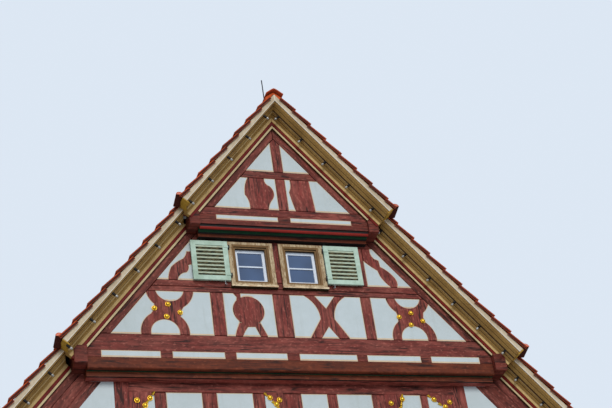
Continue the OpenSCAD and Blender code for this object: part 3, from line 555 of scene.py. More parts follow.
def arrayed(mesh, *runs):
    """The mesh repeated by Array modifiers, joined: each run is a count and an offset."""
    carrier = bpy.data.objects.new("carrier", mesh)
    scene.collection.objects.link(carrier)
    for count, offset in runs:
        array = carrier.modifiers.new("array", "ARRAY")
        array.use_relative_offset = False
        array.use_constant_offset = True
        array.constant_offset_displace = offset
        array.count = count
    bpy.context.view_layer.update()
    joined = bpy.data.meshes.new_from_object(
        carrier.evaluated_get(bpy.context.evaluated_depsgraph_get()))
    bpy.data.objects.remove(carrier)
    return joined


def give_tones(mesh, corners_each, low=0.0, high=1.0):
    """Stores one random tone for each repeated tile in a joined mesh."""
    tones = mesh.attributes.new("tone", "FLOAT", "POINT")
    copies = len(mesh.vertices) // corners_each
    values = [random.uniform(low, high) for _ in range(copies)]
    tones.data.foreach_set("value", [v for v in values for _ in range(corners_each)])


def parts_of(bm):
    """The separate parts of the mesh, each as its corners and its middle."""
    left, parts = set(bm.verts), []
    while left:
        part, ring = set(), {left.pop()}
        while ring:
            part |= ring
            ring = {e.other_vert(v) for v in ring for e in v.link_edges} - part
        left -= part
        parts.append((part, sum((v.co for v in part), Vector()) / len(part)))
    return parts


def joined_mesh(name, meshes):
    """One mesh from several, which are freed."""
    bm = bmesh.new()
    for mesh in meshes:
        bm.from_mesh(mesh)
        bpy.data.meshes.remove(mesh)
    return mesh_of(name, bm)


print("piece helpers ready")

# %% [markdown]
# The carpenter's frame is not one board with holes: sills, rails and head beams run across,
# posts and braces stand between them, and the rafters lean on the outside. A copy of each
# frame node is cut along those joints into members. Each cut is a pair of planes set a little
# apart, so that a fine dark joint shows, and every member gets rounded arrises and its own
# run of the grain.

# %% Cutting a frame into members
JOINT_GAP = 0.005
ARRIS = 0.008
POST_BROWN, RAIL_BROWN, RAFTER_BROWN = 0.15, 0.55, 0.80


def upright(left, right, low, high):
    """The corners of a rectangle on a wall, anticlockwise."""
    return [(left, low), (right, low), (right, high), (left, high)]


def clipped(bm, polygon, across):
    """A copy of what lies inside an upright prism over a convex, anticlockwise polygon."""
    piece = bm.copy()
    for (u0, z0), (u1, z1) in zip(polygon, polygon[1:] + polygon[:1]):
        outward = (across * (z1 - z0) - UP_AXIS * (u1 - u0)).normalized()
        point = across * u0 + UP_AXIS * z0 - outward * JOINT_GAP
        bmesh.ops.bisect_plane(piece, geom=everything(piece), dist=1e-6, plane_co=point,
                               plane_no=outward, clear_outer=True)
        rims = [e for e in piece.edges if e.is_boundary]
        if rims:
            bmesh.ops.holes_fill(piece, edges=rims, sides=0)
        if not piece.verts:
            break
    return piece


def add_member(timbers, bm, polygon, across, along, segments=1):
    """Cuts one member out, rounds it and gives it a run of the grain."""
    piece = clipped(bm, polygon, across)
    if piece.verts:
        merge_flat(piece)
        soften(piece, ARRIS, segments)
        if piece.calc_volume(signed=True) < 0:
            bmesh.ops.recalc_face_normals(piece, faces=piece.faces)
        grain = piece.verts.layers.float_vector.new("grain")
        tones = piece.verts.layers.float.new("tone")
        run = (across * along[0] + UP_AXIS * along[1]).normalized()
        depth = across.cross(UP_AXIS)
        start = Vector([random.uniform(0, 60) for _ in range(3)])
        brown = POST_BROWN if not along[0] else RAIL_BROWN if not along[1] else RAFTER_BROWN
        shade = brown + random.uniform(-0.15, 0.20)
        for corner in piece.verts:
            co = corner.co
            corner[grain] = start + Vector((co.dot(run), co.dot(depth.cross(run)), co.dot(depth)))
            corner[tones] = shade
        timbers.append(mesh_of("member", piece))
    else:
        piece.free()


def spans(edges):
    """The solid spans and the gaps between them, from left to right."""
    stops = sorted({e for pair in edges for e in pair})
    return list(zip(stops, stops[1:]))


print("member cutter ready")

# %% [markdown]
# Each gable stage is described by its levels and its posts, in metres. Horizontal bands come
# first: the sill, the rail (two beams on top of each other where the real one has a line in
# the middle), the head beam. The rafter lines cut the ends. Posts and infill braces fill what
# is left between the bands.

# %% Gable timbers
SLOPE = 1.25
RAFTER_INNER = 17.46 - 0.366 * math.hypot(1, SLOPE)
STAGES = {
    "top": {"levels": [15.3, 15.971, 16.129, 17.2], "solid": [15.971], "posts": [(-0.075, 0.107)]},
    "middle": {"levels": [12.9, 13.736, 13.840, 13.967, 14.756, 15.1],
               "solid": [13.736, 13.840, 14.756],
               "posts": [(-1.426, -1.202), (-0.315, -0.008), (1.301, 1.490)]},
    "lower": {"levels": [9.9, 10.7, 10.88, 11.5, 11.63, 11.984, 12.5],
              "solid": [10.7, 11.5, 11.984],
              "posts": [(-3.130, -2.876), (-2.465, -2.266), (-1.661, -1.409), (-0.790, -0.585),
                        (-0.262, 0.060), (0.525, 0.700), (1.332, 1.572), (2.228, 2.361),
                        (2.861, 3.098)]},
}
X_AXIS = Vector((1, 0, 0))
FAR = 7.0


def rafter_inner(z):
    return (RAFTER_INNER - z) / SLOPE


def between_rafters(polygon):
    """The part of a convex polygon under both inner rafter lines."""
    for side in (-1, 1):
        room = [RAFTER_INNER - z - SLOPE * side * x for x, z in polygon]
        kept = []
        for k, (x, z) in enumerate(polygon):
            before, (x0, z0) = room[k - 1], polygon[k - 1]
            if (before > 0) != (room[k] > 0):
                t = before / (before - room[k])
                kept.append((x0 + t * (x - x0), z0 + t * (z - z0)))
            if room[k] > 0:
                kept.append((x, z))
        polygon = kept
    return polygon


def gable_members(bm, stage, segments):
    timbers = []
    levels = stage["levels"]
    add_member(timbers, bm, upright(-FAR, FAR, 0, levels[0]), X_AXIS, (1, 0), segments)
    top = levels[-1] + 0.2
    for side in (-1, 1):
        foot = side * rafter_inner(levels[0])
        head = [(0, top), (0, RAFTER_INNER)]
        if top < RAFTER_INNER:
            head = [(side * rafter_inner(top), top)]
        outline = [(foot, levels[0]), (side * FAR, levels[0]), (side * FAR, top)] + head
        add_member(timbers, bm, outline[::side], X_AXIS, (-side, SLOPE), segments)
    for low, high in zip(levels, levels[1:]):
        solid = low in stage["solid"]
        for left, right in [(-FAR, FAR)] if solid else spans(stage["posts"] + [(-FAR, FAR)]):
            cell = between_rafters(upright(left, right, low, high))
            if len(cell) > 2:
                add_member(timbers, bm, cell, X_AXIS, (1, 0) if solid else (0, 1), segments)
    return timbers


def stage_copy(node, low, high):
    """The part of a frame node between two heights."""
    bm = copy_of(node, whole=False)
    for level, normal in ((low, -UP_AXIS), (high, UP_AXIS)):
        outside = [v for v in bm.verts if (v.co.z - level) * normal.z > 1e-4]
        bmesh.ops.delete(bm, geom=outside, context="VERTS")
    return bm


for part, stage in STAGES.items():
    node = f"front_{part}_gable_frame"
    source = copy_of(node, whole=False)
    timbers = joined_mesh(f"front_{part}_timbers", gable_members(source, stage, 2))
    source.free()
    hung(f"front_{part}_timbers", timbers, [OXBLOOD], replaces=[node])

back_meshes = []
for part, stage in STAGES.items():
    floor_z, roof_z = (corner.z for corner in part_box(f"front_{part}_gable_frame"))
    source = stage_copy("back_gable_frames", floor_z, roof_z)
    back_meshes += gable_members(source, stage, 1)
    source.free()
hung("back_gable_timbers", joined_mesh("back_gable_timbers", back_meshes), [OXBLOOD],
     replaces=["back_gable_frames"])

# %% [markdown]
# The storeys below the gable are framed in even bays. Their members come from the same
# cutter, with the bands at sill, rail, window head and top plate.

# %% Storey timbers
Y_AXIS = Vector((0, 1, 0))
POST = 0.2
STOREY_BANDS = [0.0, 0.8, 0.98, 1.98, 2.11]
STOREY_SOLID = [0.8, 1.98]
STOREYS = [(4.2, 6.525), (7.05, 9.375)]


def storey_members(bm, sill, plate, half, bays, across):
    timbers = []
    for low, high in ((sill - 0.5, sill), (plate, plate + 0.5)):
        add_member(timbers, bm, upright(-FAR, FAR, low, high), across, (1, 0))
    levels = [sill + step for step in STOREY_BANDS] + [plate]
    posts = [-half + 2 * half * i / bays for i in range(bays + 1)]
    edges = [(max(p - POST / 2, -half), min(p + POST / 2, half)) for p in posts]
    for low, high in zip(levels, levels[1:]):
        solid = any(abs(low - sill - step) < 1e-6 for step in STOREY_SOLID)
        band = clipped(bm, upright(-FAR, FAR, low, high), across)
        for left, right in [(-FAR, FAR)] if solid else spans(edges):
            add_member(timbers, band, upright(left, right, low, high), across,
                       (1, 0) if solid else (0, 1))
        band.free()
    return timbers


for name, nodes, bays, across in (
        ("front_storey_timbers", ["front_first_frame", "front_second_frame"], 10, X_AXIS),
        ("back_storey_timbers", ["back_storey_frames"], 10, X_AXIS),
        ("left_side_timbers", ["left_side_frames"], 9, Y_AXIS),
        ("right_side_timbers", ["right_side_frames"], 9, Y_AXIS)):
    meshes = []
    for k, (sill, plate) in enumerate(STOREYS):
        source = stage_copy(nodes[k % len(nodes)], sill - 0.3, plate + 0.3)
        half = max(v.co.dot(across) for v in source.verts)
        meshes += storey_members(source, sill, plate, half, bays, across)
        source.free()
    hung(name, joined_mesh(name, meshes), [OXBLOOD], replaces=nodes)

# %% [markdown]
# The panels between the timbers are plaster, trowelled flush and a little behind the wood.
# A copy of each infill node gets a narrow rim round every panel: that is the warmer painted
# line that runs along the timbers.

# %% Plaster panels
SQUARE_ON = 0.99
PANEL_RIM = 0.012
FOOT_RIM = 0.030
UNDER_SIDES, UNDER_ENDS = 0.036, 0.024


def window_boxes():
    """The low and high corner of every window surround."""
    boxes = []
    for side in ("front", "back", "side"):
        bm = copy_of(f"{side}_window_surrounds", whole=False)
        for part, _ in parts_of(bm):
            corners = [v.co for v in part]
            boxes.append([Vector([pick(axis) for axis in zip(*corners)]) for pick in (min, max)])
        bm.free()
    return boxes


def open_windows(bm, outward):
    """Cuts the openings behind the window surrounds out of the plaster, and counts them."""
    across, opened = outward.cross(UP_AXIS), 0
    for low, high in WINDOW_BOXES:
        middle, size = (low + high) / 2, high - low
        if middle.dot(outward) < 4:
            continue
        reach = ((across, abs(size.dot(across)) / 2 - UNDER_SIDES),
                 (UP_AXIS, size.z / 2 - UNDER_ENDS))

        def over(face):
            spread = [[(v.co - middle).dot(axis) for v in face.verts] for axis, _ in reach]
            return face.normal.dot(outward) > SQUARE_ON and all(
                min(far) < limit and max(far) > -limit for far, (_, limit) in zip(spread, reach))

        for axis, limit in reach:
            for way in (-limit, limit):
                bmesh.ops.bisect_plane(bm, geom=with_rims([f for f in bm.faces if over(f)]),
                                       dist=1e-6, plane_co=middle + axis * way, plane_no=axis)
        inside = [f for f in bm.faces if f.normal.dot(outward) > SQUARE_ON and all(
            abs((f.calc_center_median() - middle).dot(axis)) < limit for axis, limit in reach)]
        bmesh.ops.delete(bm, geom=inside, context="FACES_ONLY")
        opened += 1
    return opened


def plaster_panels(name, node, outward):
    bm = copy_of(node, whole=False)
    fronts = [f for f in bm.faces if f.normal.dot(outward) > SQUARE_ON]
    rims = bmesh.ops.inset_region(bm, faces=fronts, thickness=PANEL_RIM, depth=0.0,
                                  use_boundary=True, use_even_offset=True)
    bmesh.ops.delete(bm, geom=fronts, context="FACES")
    raised = set()
    for face in rims["faces"]:
        face.material_index = 1
        by_height = sorted(face.edges, key=lambda e: sum(v.co.z for v in e.verts))
        low, high = by_height[0], by_height[-1]
        flat = abs(low.verts[0].co.z - low.verts[1].co.z) < 0.3 * low.calc_length()
        if flat and any(f.normal.dot(outward) < 0.5 for f in low.link_faces):
            raised.update(high.verts)
    for corner in raised:
        corner.co.z += FOOT_RIM - PANEL_RIM
    open_edges = [e for e in bm.edges if e.is_boundary]
    planes = {round(e.verts[0].co.dot(outward), 3) for e in open_edges}
    for plane in planes:
        edges = [e for e in open_edges if round(e.verts[0].co.dot(outward), 3) == plane]
        bmesh.ops.triangle_fill(bm, edges=edges, use_beauty=True, normal=outward)
    print(open_windows(bm, outward), "windows opened in", node)
    finished(name, bm, [PLASTER, PANEL_EDGE], replaces=[node])


WINDOW_BOXES = window_boxes()
for node, outward in (("front_gable_infill", -Y_AXIS), ("back_gable_infill", Y_AXIS),
                      ("front_storey_infill", -Y_AXIS), ("back_storey_infill", Y_AXIS),
                      ("left_side_infill", -X_AXIS), ("right_side_infill", X_AXIS)):
    plaster_panels(node.replace("infill", "panels"), node, outward)

# %% [markdown]
# In the lower gable stage the outermost bays differ: a broad sloping board and a brace lie
# beside the rafter, and the plaster reaches up to the moulding next to the corner post. Four
# bays of the frieze have corner brackets with gilded edges. They are laid over the panels as
# boards, cut and grained like the other members.

# %% Lower corners
LOWER_TOP, PLATE_FOOT, FRIEZE_FOOT = 12.163, 11.984, 11.632
BELOW_FOOT, OVER_TOP = 9.0, 12.3
OVERLAY = -5.305
PATCH_FACE, OVERLAY_BACK = OVERLAY + 0.0035, OVERLAY + 0.03
CORNER_POSTS = [(-3.130, -2.876), (2.861, 3.098)]
BRACKETS = [
    ((-2.876, -2.465), [(-2.888, 11.62), (-2.725, 11.62), (-2.455, 11.996), (-2.888, 11.996)]),
    ((-0.585, -0.262), [(-0.289, 11.62), (-0.250, 11.62), (-0.250, 11.996), (-0.595, 11.996)]),
    ((1.572, 1.945), [(1.560, 11.62), (1.800, 11.62), (1.900, 11.996), (1.560, 11.996)]),
    ((2.361, 2.861), [(2.793, 11.62), (2.873, 11.62), (2.873, 11.996), (2.351, 11.996)]),
]


def lower_corner_boards():
    """Sloping boards beside the rafters, corner posts and brackets, as grained members."""
    timbers = []
    low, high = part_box("front_lower_gable_frame")
    source = bmesh.new()
    block(source, (low.x + 0.05, OVERLAY, low.z + 0.25), (high.x - 0.05, OVERLAY_BACK, LOWER_TOP))
    for side in (-1, 1):
        for near, far in ((-0.006, 0.256), (0.244, 0.455)):
            outline = [(side * (rafter_inner(z) - reach), z)
                       for reach, z in upright(near, far, BELOW_FOOT, OVER_TOP)]
            add_member(timbers, source, outline[::-side], X_AXIS, (-side, SLOPE), 2)
    for left, right in CORNER_POSTS:
        add_member(timbers, source, upright(left, right, FRIEZE_FOOT, OVER_TOP), X_AXIS, (0, 1), 2)
    for _, outline in BRACKETS:
        add_member(timbers, source, outline, X_AXIS, (0, 1), 2)
    source.free()
    return joined_mesh("lower_corner_boards", timbers)


def mirrored_back(mesh):
    """The mesh and its mirror image on the back of the house."""
    bm = bmesh.new()
    bm.from_mesh(mesh)
    bpy.data.meshes.remove(mesh)
    mirror_copies(bm, "Y")
    return bm


finished("lower_corner_boards", mirrored_back(lower_corner_boards()), [OXBLOOD])

patches = bmesh.new()
for (left, right), _ in BRACKETS:
    block(patches, (left + 0.004, PATCH_FACE, FRIEZE_FOOT),
          (right - 0.004, OVERLAY_BACK, PLATE_FOOT - 0.004))
slab = bmesh.new()
block(slab, (-FAR, PATCH_FACE, FRIEZE_FOOT), (FAR, OVERLAY_BACK, LOWER_TOP))
for side, post in ((-1, CORNER_POSTS[0][0]), (1, CORNER_POSTS[1][1])):
    inner = post - side * 0.01
    foot, head = (side * (rafter_inner(z) - 0.35) for z in (FRIEZE_FOOT, LOWER_TOP))
    outline = [(inner, FRIEZE_FOOT - 0.01), (foot, FRIEZE_FOOT - 0.01),
               (head, OVER_TOP), (inner, OVER_TOP)]
    mesh = mesh_of("patch", clipped(slab, outline[::side], X_AXIS))
    patches.from_mesh(mesh)
    bpy.data.meshes.remove(mesh)
slab.free()
mirror_copies(patches, "Y")
finished("lower_corner_plaster", patches, [PLASTER])

GILT_PIECES, GILT_HALF = 5, 0.036
gilding = bmesh.new()
for _, outline in BRACKETS:
    edge = max(zip(outline, outline[1:] + outline[:1]),
               key=lambda pair: abs(pair[0][0] - pair[1][0]) * abs(pair[0][1] - pair[1][1]))
    start, end = (Vector((x, OVERLAY - 0.002, z)) for x, z in edge)
    along = (end - start).normalized() * GILT_HALF
    for k in range(GILT_PIECES):
        middle = start.lerp(end, (k + 0.5) / GILT_PIECES)
        rod(gilding, middle - along, middle + along, 0.028, 8, 0, 0.016)
mirror_copies(gilding, "Y")
finished("bracket_gilding", gilding, [GOLD])

# %% [markdown]
# The roof is covered with curved clay tiles. One tile is a small grid bent into an S and
# given thickness. Array modifiers lay it out, the result is joined, and every tile gets a
# tone of its own. All of it is made once in the frame of the right slope, where x runs down
# the slope, y along the eaves and z square to the boards, and is then set on both slopes.

# %% Slope frame and roof tiles
PITCH = math.atan(SLOPE)
APEX = 17.4605
DECK = 0.092
TILE_STEP = 0.046
GAUGE = 0.40
TILE_WIDTH = 0.24
TILE_LAP = 0.05
TILE_BODY = 0.012
EAVES_S = 10.4
STAGE_ENDS = [2.98, 6.35, EAVES_S]
STAGE_FACES = [5.9, 5.6, 5.3]
VERGE_OUT = 0.44
TILT = math.atan(TILE_STEP / GAUGE)
RIGHT_SLOPE = Matrix.Translation((0, 0, APEX)) @ Matrix.Rotation(PITCH, 4, "Y")
LEFT_SLOPE = Matrix.Rotation(math.pi, 4, "Z") @ RIGHT_SLOPE
SLOPES = {"left": LEFT_SLOPE, "right": RIGHT_SLOPE}


def one_tile():
    """An S-shaped tile: a shallow trough and a roll, its upper end at the origin."""
    bm = bmesh.new()
    bmesh.ops.create_grid(bm, x_segments=1, y_segments=7, size=0.5)
    for corner in bm.verts:
        t = corner.co.y + 0.5
        s = corner.co.x + 0.5
        wave = 0.5 - 0.5 * math.cos(2 * math.pi * min(t / 0.92, 1.0))
        corner.co = Vector((s * (GAUGE + TILE_LAP) - TILE_LAP, t * (TILE_WIDTH + 0.012),
                            0.001 + wave * 0.028 + TILE_STEP * s))
    bmesh.ops.solidify(bm, geom=bm.faces[:], thickness=-TILE_BODY)
    bmesh.ops.recalc_face_normals(bm, faces=bm.faces)
    return mesh_of("tile", bm)


def tile_field(tile, columns, rows, first_y):
    """Rows and columns of the tile from the ridge down, in the slope's frame."""
    field = arrayed(tile, (columns, (0, TILE_WIDTH, 0)), (rows, (GAUGE, 0, 0)))
    field.transform(Matrix.Translation((0, first_y, DECK - TILE_BODY)))
    give_tones(field, len(tile.vertices))
    return field


tile = one_tile()
COLUMNS = 46
FIELD_HALF = COLUMNS * TILE_WIDTH / 2
for side, place in SLOPES.items():
    fields = [tile_field(tile, COLUMNS, round(EAVES_S / GAUGE), -FIELD_HALF)]
    for sign in (-1, 1):
        for step, end in ((0, STAGE_ENDS[1]), (1, STAGE_ENDS[0])):
            start = FIELD_HALF + step * TILE_WIDTH
            first_y = min(sign * start, sign * (start + TILE_WIDTH))
            fields.append(tile_field(tile, 1, int(end / GAUGE + 0.2), first_y))
    mesh = joined_mesh(f"{side}_tiles", fields)
    mesh.transform(place)
    hung(f"{side}_tiles", mesh, [TILE], replaces=[f"{side}_roof_tiles"])

# %% [markdown]
# Along the verges lie edge tiles with a lip over the barge board. Each one starts under its
# upper neighbour and stands up a little at its lower end. Their outer sides are hollow: between
# two pale edges the recess is painted dark, as the shade inside the hollow. They are made on
# the front right verge and mirrored.

# %% Verge tiles
# A dark clay for painted shade: inside the hollow verge lips and under the cover tiles.
TILE_SHADE = tile_finish("shade_dark_clay", tone(64, 22, 14), tone(30, 10, 8), tone(120, 60, 40))
VERGE_CLAY = tile_finish("verge_clay", tone(196, 84, 42), tone(116, 44, 26), tone(186, 130, 90))
EDGE_WIDTHS = [0.34, 0.28, 0.22]
EDGE_LIP = 0.056
PLATE = 0.016


def edge_tile(bm, stage, start, end, place):
    """A verge tile of the front right verge, from start to end down the slope."""
    outer = -(STAGE_FACES[stage] + VERGE_OUT)
    middle = (start + end) / 2
    base = place @ Matrix.Translation((middle, outer, DECK)) @ Matrix.Rotation(-TILT, 4, "Y")
    half = (end - start) / 2
    top = 0.048
    block(bm, (-half, 0.004, top - PLATE), (half, EDGE_WIDTHS[stage], top), base, 0, 0.003)
    before = set(bm.faces)
    block(bm, (-half, 0.0, top - EDGE_LIP), (half, PLATE, top), base, 0)
    outward = base.to_3x3() @ -Y_AXIS
    lip = [f for f in set(bm.faces) - before if f.normal.dot(outward) > 0.9]
    # The recessed middle of the lip is painted dark as the shade inside the tile's hollow end.
    bmesh.ops.inset_individual(bm, faces=lip, thickness=0.007, depth=-0.007)
    for face in lip:
        face.material_index = 1


bm = bmesh.new()
for stage, (low, high) in enumerate(zip([0.0] + STAGE_ENDS, STAGE_ENDS)):
    row = int(low / GAUGE + 1e-6)
    while row * GAUGE < high - 0.02:
        start = max(row * GAUGE - 0.03, low - 0.03 if stage else 0.04)
        edge_tile(bm, stage, start, min((row + 1) * GAUGE, high + 0.03), RIGHT_SLOPE)
        row += 1
mirror_copies(bm, "XY")
tones = bm.verts.layers.float.new("tone")
for corner in bm.verts:
    corner[tones] = 0.3 + 0.3 * math.sin(corner.co.x * 5.1) * math.sin(corner.co.y * 3.7)
finished("verge_tiles", bm, [VERGE_CLAY, TILE_SHADE])

# %% [markdown]
# The ridge is closed with a row of wide caps, each lapping over the next, bedded in orange
# mortar that shows as a triangle at the gable.

# %% Ridge
CAP_LENGTH = 0.42
CAP_HALF = 0.165
CAP_FALL = 0.115
CAP_BEND = math.sqrt(0.02)
BED_BACK = 0.08


def ridge_cap(high):
    bm = bmesh.new()
    bmesh.ops.create_grid(bm, x_segments=8, y_segments=1, size=0.5)
    for corner in bm.verts:
        u = corner.co.x * 2
        wide = 1.0 if corner.co.y < 0 else 0.94
        bend = (math.hypot(u, CAP_BEND) - CAP_BEND) / (math.hypot(1, CAP_BEND) - CAP_BEND)
        corner.co = Vector((u * CAP_HALF * wide, corner.co.y * CAP_LENGTH,
                            high - CAP_FALL * bend * wide - (1 - wide) * 0.2))
    bmesh.ops.solidify(bm, geom=bm.faces[:], thickness=-0.018)
    bmesh.ops.recalc_face_normals(bm, faces=bm.faces)
    return mesh_of("cap", bm)


ridge_low, ridge_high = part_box("ridge_tiles")
half_length = ridge_high.y
caps = round(2 * half_length / 0.39)
step = (2 * half_length - CAP_LENGTH) / (caps - 1)
cap = ridge_cap(ridge_high.z - 0.001)
row = arrayed(cap, (caps, (0, step, 0)))
row.transform(Matrix.Translation((0, CAP_LENGTH / 2 - half_length, 0)))
give_tones(row, len(cap.vertices), 0.1, 0.7)
hung("ridge_caps", row, [TILE])
bed = copy_of("ridge_tiles")
for corner in bed.verts:
    if corner.co.z > ridge_low.z + 0.05:
        corner.co.z -= 0.022
    corner.co.x *= 0.96
    corner.co.y *= 1 - BED_BACK / half_length
finished("ridge_mortar_bed", bed, [MORTAR], replaces=["ridge_tiles"])

# %% [markdown]
# Under the verge tiles the overhang is boarded: a cream barge board whose lower arris gets a
# painted highlight, brown soffit planks with grooves between them, a light board in front of
# the wall, and under it a dark red and a beige strip that end at the rafter; the beige strip's
# underside is painted dark as shade. Faces are sorted into their paints by their depth under
# the slope. Lamps hang from two cables along each verge.

# %% Verge boards
BARGE_LIT = board_paint("lit_arris", tone(238, 230, 214), tone(206, 192, 168), 0.5)
SOFFIT_LIGHT = board_paint("light_soffit_board", tone(204, 176, 122), tone(150, 118, 68), 0.6)
# Dark brown for the grooves between the planks and for the cables; under the beige strip it is
# painted shade.
SOFFIT_DARK_AND_SHADE = board_paint("dark_groove_and_painted_shade", tone(74, 50, 26), tone(40, 26, 14), 0.7)
SOFFIT_FOOT = 0.148
RED_REACH = 0.052


def under_slope(point):
    """Height of a point square to the slope, from the underside of the boards."""
    return abs(point.x) * math.sin(PITCH) + (point.z - APEX) * math.cos(PITCH)


def square_to(side):
    """The direction square to the left or right slope."""
    return Vector((side * math.sin(PITCH), 0, math.cos(PITCH)))


strips = copy_of("verge_strips")
soften(strips, 0.003)
for side in (-1, 1):
    square = square_to(side)
    half = [f for f in strips.faces if f.calc_center_median().x * side > 0]
    bmesh.ops.bisect_plane(strips, geom=with_rims(half), dist=1e-6, plane_no=square,
                           plane_co=UP_AXIS * APEX - square * (SOFFIT_FOOT + RED_REACH))
for face in strips.faces:
    fall = -under_slope(face.calc_center_median())
    # The downward faces of the beige strip, far under the boards, are painted dark as shade.
    shaded_underside = abs(face.normal.y) < 0.3 and fall > SOFFIT_FOOT + 0.08
    face.material_index = 2 if shaded_underside else 0 if fall > SOFFIT_FOOT + RED_REACH else 1
finished("verge_mouldings", strips, [STRIP_PALE, STRIP_RED, SOFFIT_DARK_AND_SHADE],
         replaces=["verge_strips"])

barge = copy_of("barge_boards")
soften(barge, 0.010, 2)
# The lower arris faces get the lit cream, a painted highlight.
for face in barge.faces:
    tip = face.normal.dot(square_to(math.copysign(1, face.calc_center_median().x)))
    face.material_index = 1 if -0.97 < tip < -0.2 and abs(face.normal.y) > 0.2 else 0
finished("barge_trim", barge, [BARGE, BARGE_LIT], replaces=["barge_boards"])

soffit = copy_of("verge_soffits")
soften(soffit, 0.006)
for face in soffit.faces:
    face.material_index = 1 if abs(face.normal.y) > 0.95 else 0
finished("verge_soffit_boards", soffit, [SOFFIT, SOFFIT_LIGHT],
         replaces=["verge_soffits"])

SOFFIT_RISE = math.atan2(0.086, 0.297)
PLANKS = [(0.004, 0.056, 0), (0.070, 0.104, 0), (0.106, 0.136, 1), (0.152, 0.218, 0),
          (0.230, 0.300, 0)]


def soffit_planks(bm, stage, start, end):
    """Planks with dark grooves between them under the front right verge."""
    hinge = Matrix.Translation((0, -STAGE_FACES[stage] - 0.075, -0.086))
    base = RIGHT_SLOPE @ hinge @ Matrix.Rotation(-SOFFIT_RISE, 4, "X")
    for (near, far, kind), after in zip(PLANKS, PLANKS[1:] + [None]):
        block(bm, (start, -far, -0.012), (end, -near, 0.004), base, kind, 0.003)
        if after:
            block(bm, (start, -after[0], -0.006), (end, -far, 0.004), base, 2)
    return base


LAMP_RUNS = [(0.24, 5), (3.06, 6), (6.62, 6)]
BULB_LENGTH = 1.25
CABLES = [(1, 0.137, 0.0, 0.617), (-1, 0.288, 0.18, 0.628)]


def lamp(bm, foot, down):
    """A black socket with a clear bulb, hanging square to the slope."""
    rod(bm, foot - down * 0.006, foot + down * 0.052, 0.021, 12, 1, 0.024)
    rod(bm, foot + down * 0.050, foot + down * 0.066, 0.017, 12, 1)
    place = Matrix.Translation(foot + down * 0.086) @ turned_to(down)
    place @= Matrix.Diagonal((1, 1, BULB_LENGTH, 1))
    made = bmesh.ops.create_uvsphere(bm, u_segments=12, v_segments=8, radius=0.023, matrix=place)
    for face in paint_around(made["verts"], 2):
        face.smooth = True


planks, lamps = bmesh.new(), bmesh.new()
DOWN = (RIGHT_SLOPE.to_3x3() @ -UP_AXIS).normalized()
CABLE_DEPTH = -0.018
for stage, (low, high) in enumerate(zip([-0.2] + STAGE_ENDS, STAGE_ENDS)):
    base = soffit_planks(planks, stage, low + 0.002, high - 0.004)
    first, count = LAMP_RUNS[stage]
    for way, depth, shift, gap in CABLES:
        side = Vector((way, 1, 1))
        ends = [side * (base @ Vector((s, -depth, CABLE_DEPTH)))
                for s in (max(low, 0.05), high - 0.004)]
        rod(lamps, *ends, 0.007, 8, 0)
        for k in range(count):
            foot = base @ Vector((first + shift + k * gap, -depth, CABLE_DEPTH))
            lamp(lamps, side * foot, side * DOWN)
bmesh.ops.bisect_plane(planks, geom=everything(planks), dist=1e-6, plane_co=(0, 0, 0),
                       plane_no=-X_AXIS, clear_outer=True)
mirror_copies(planks, "XY")
mirror_copies(lamps, "Y")
finished("soffit_planks", planks, [SOFFIT, SOFFIT_LIGHT, SOFFIT_DARK_AND_SHADE])
finished("verge_lamps", lamps, [SOFFIT_DARK_AND_SHADE, BLACK_LINE, BULB])

# %% [markdown]
# At the foot of a verge stage the box ends. An ochre board with rounded corners closes it. A
# half round cover tile lies over the step and falls a little inwards: its open end shows a
# pink bed of mortar, its outer edge is bright and its underside is painted dark as shade.

# %% Stage ends
PALE_CLAY = tile_finish("pale_clay", tone(214, 132, 112), tone(176, 92, 72), tone(232, 190, 178))
COVER_RADIUS, COVER_LENGTH, COVER_FALL = 0.064, 0.27, 0.075
END_TILE = 0.15
BARGE_FACE = 0.04


def cover_tile(bm, stage, place):
    """The half round tile over the step of the front right verge."""
    outer = -(STAGE_FACES[stage] + VERGE_OUT)
    head = place @ Vector((STAGE_ENDS[stage], outer + 0.0175, DECK + 0.066))
    tail = head + Vector((0, COVER_LENGTH, -COVER_FALL))
    before = set(bm.faces)
    rod(bm, head, tail, COVER_RADIUS, 16)
    shell = [f for f in bm.faces if f not in before]
    for corner in {v for f in shell for v in f.verts}:
        axis = head.lerp(tail, (corner.co.y - head.y) / COVER_LENGTH)
        if corner.co.z < axis.z:
            corner.co.z = axis.z + (corner.co.z - axis.z) * 0.35
    open_end = [f for f in shell if f.normal.y < -0.8 and len(f.verts) > 4]
    for face in shell:
        middle = face.calc_center_median()
        axis = head.lerp(tail, (middle.y - head.y) / COVER_LENGTH)
        # The half below the axis is painted dark as the shade under the cover tile.
        low = middle.z < axis.z - 0.004 and len(face.verts) == 4
        face.material_index = 1 if low else 0
    bmesh.ops.inset_individual(bm, faces=open_end, thickness=0.010, depth=-0.004)
    for face in open_end:
        face.material_index = 2


bm = bmesh.new()
for stage in (0, 1):
    cover_tile(bm, stage, RIGHT_SLOPE)
mirror_copies(bm, "XY")
finished("verge_cover_tiles", bm, [TILE, TILE_SHADE, PALE_CLAY])

outer_ends = bmesh.new()
for stage in (0, 1):
    face = -(STAGE_FACES[stage] + VERGE_OUT)
    block(outer_ends, (STAGE_ENDS[stage] + 0.001, face + BARGE_FACE, -0.062),
          (STAGE_ENDS[stage] + 0.019, face + END_TILE + 0.002, DECK - 0.004),
          RIGHT_SLOPE, 0, 0.006, 2)
mirror_copies(outer_ends, "XY")
finished("verge_end_caps", outer_ends, [OCHRE])
ends = copy_of("verge_end_boards")
soften(ends, 0.008, 3)
finished("verge_end_closers", ends, [OCHRE], replaces=["verge_end_boards"])

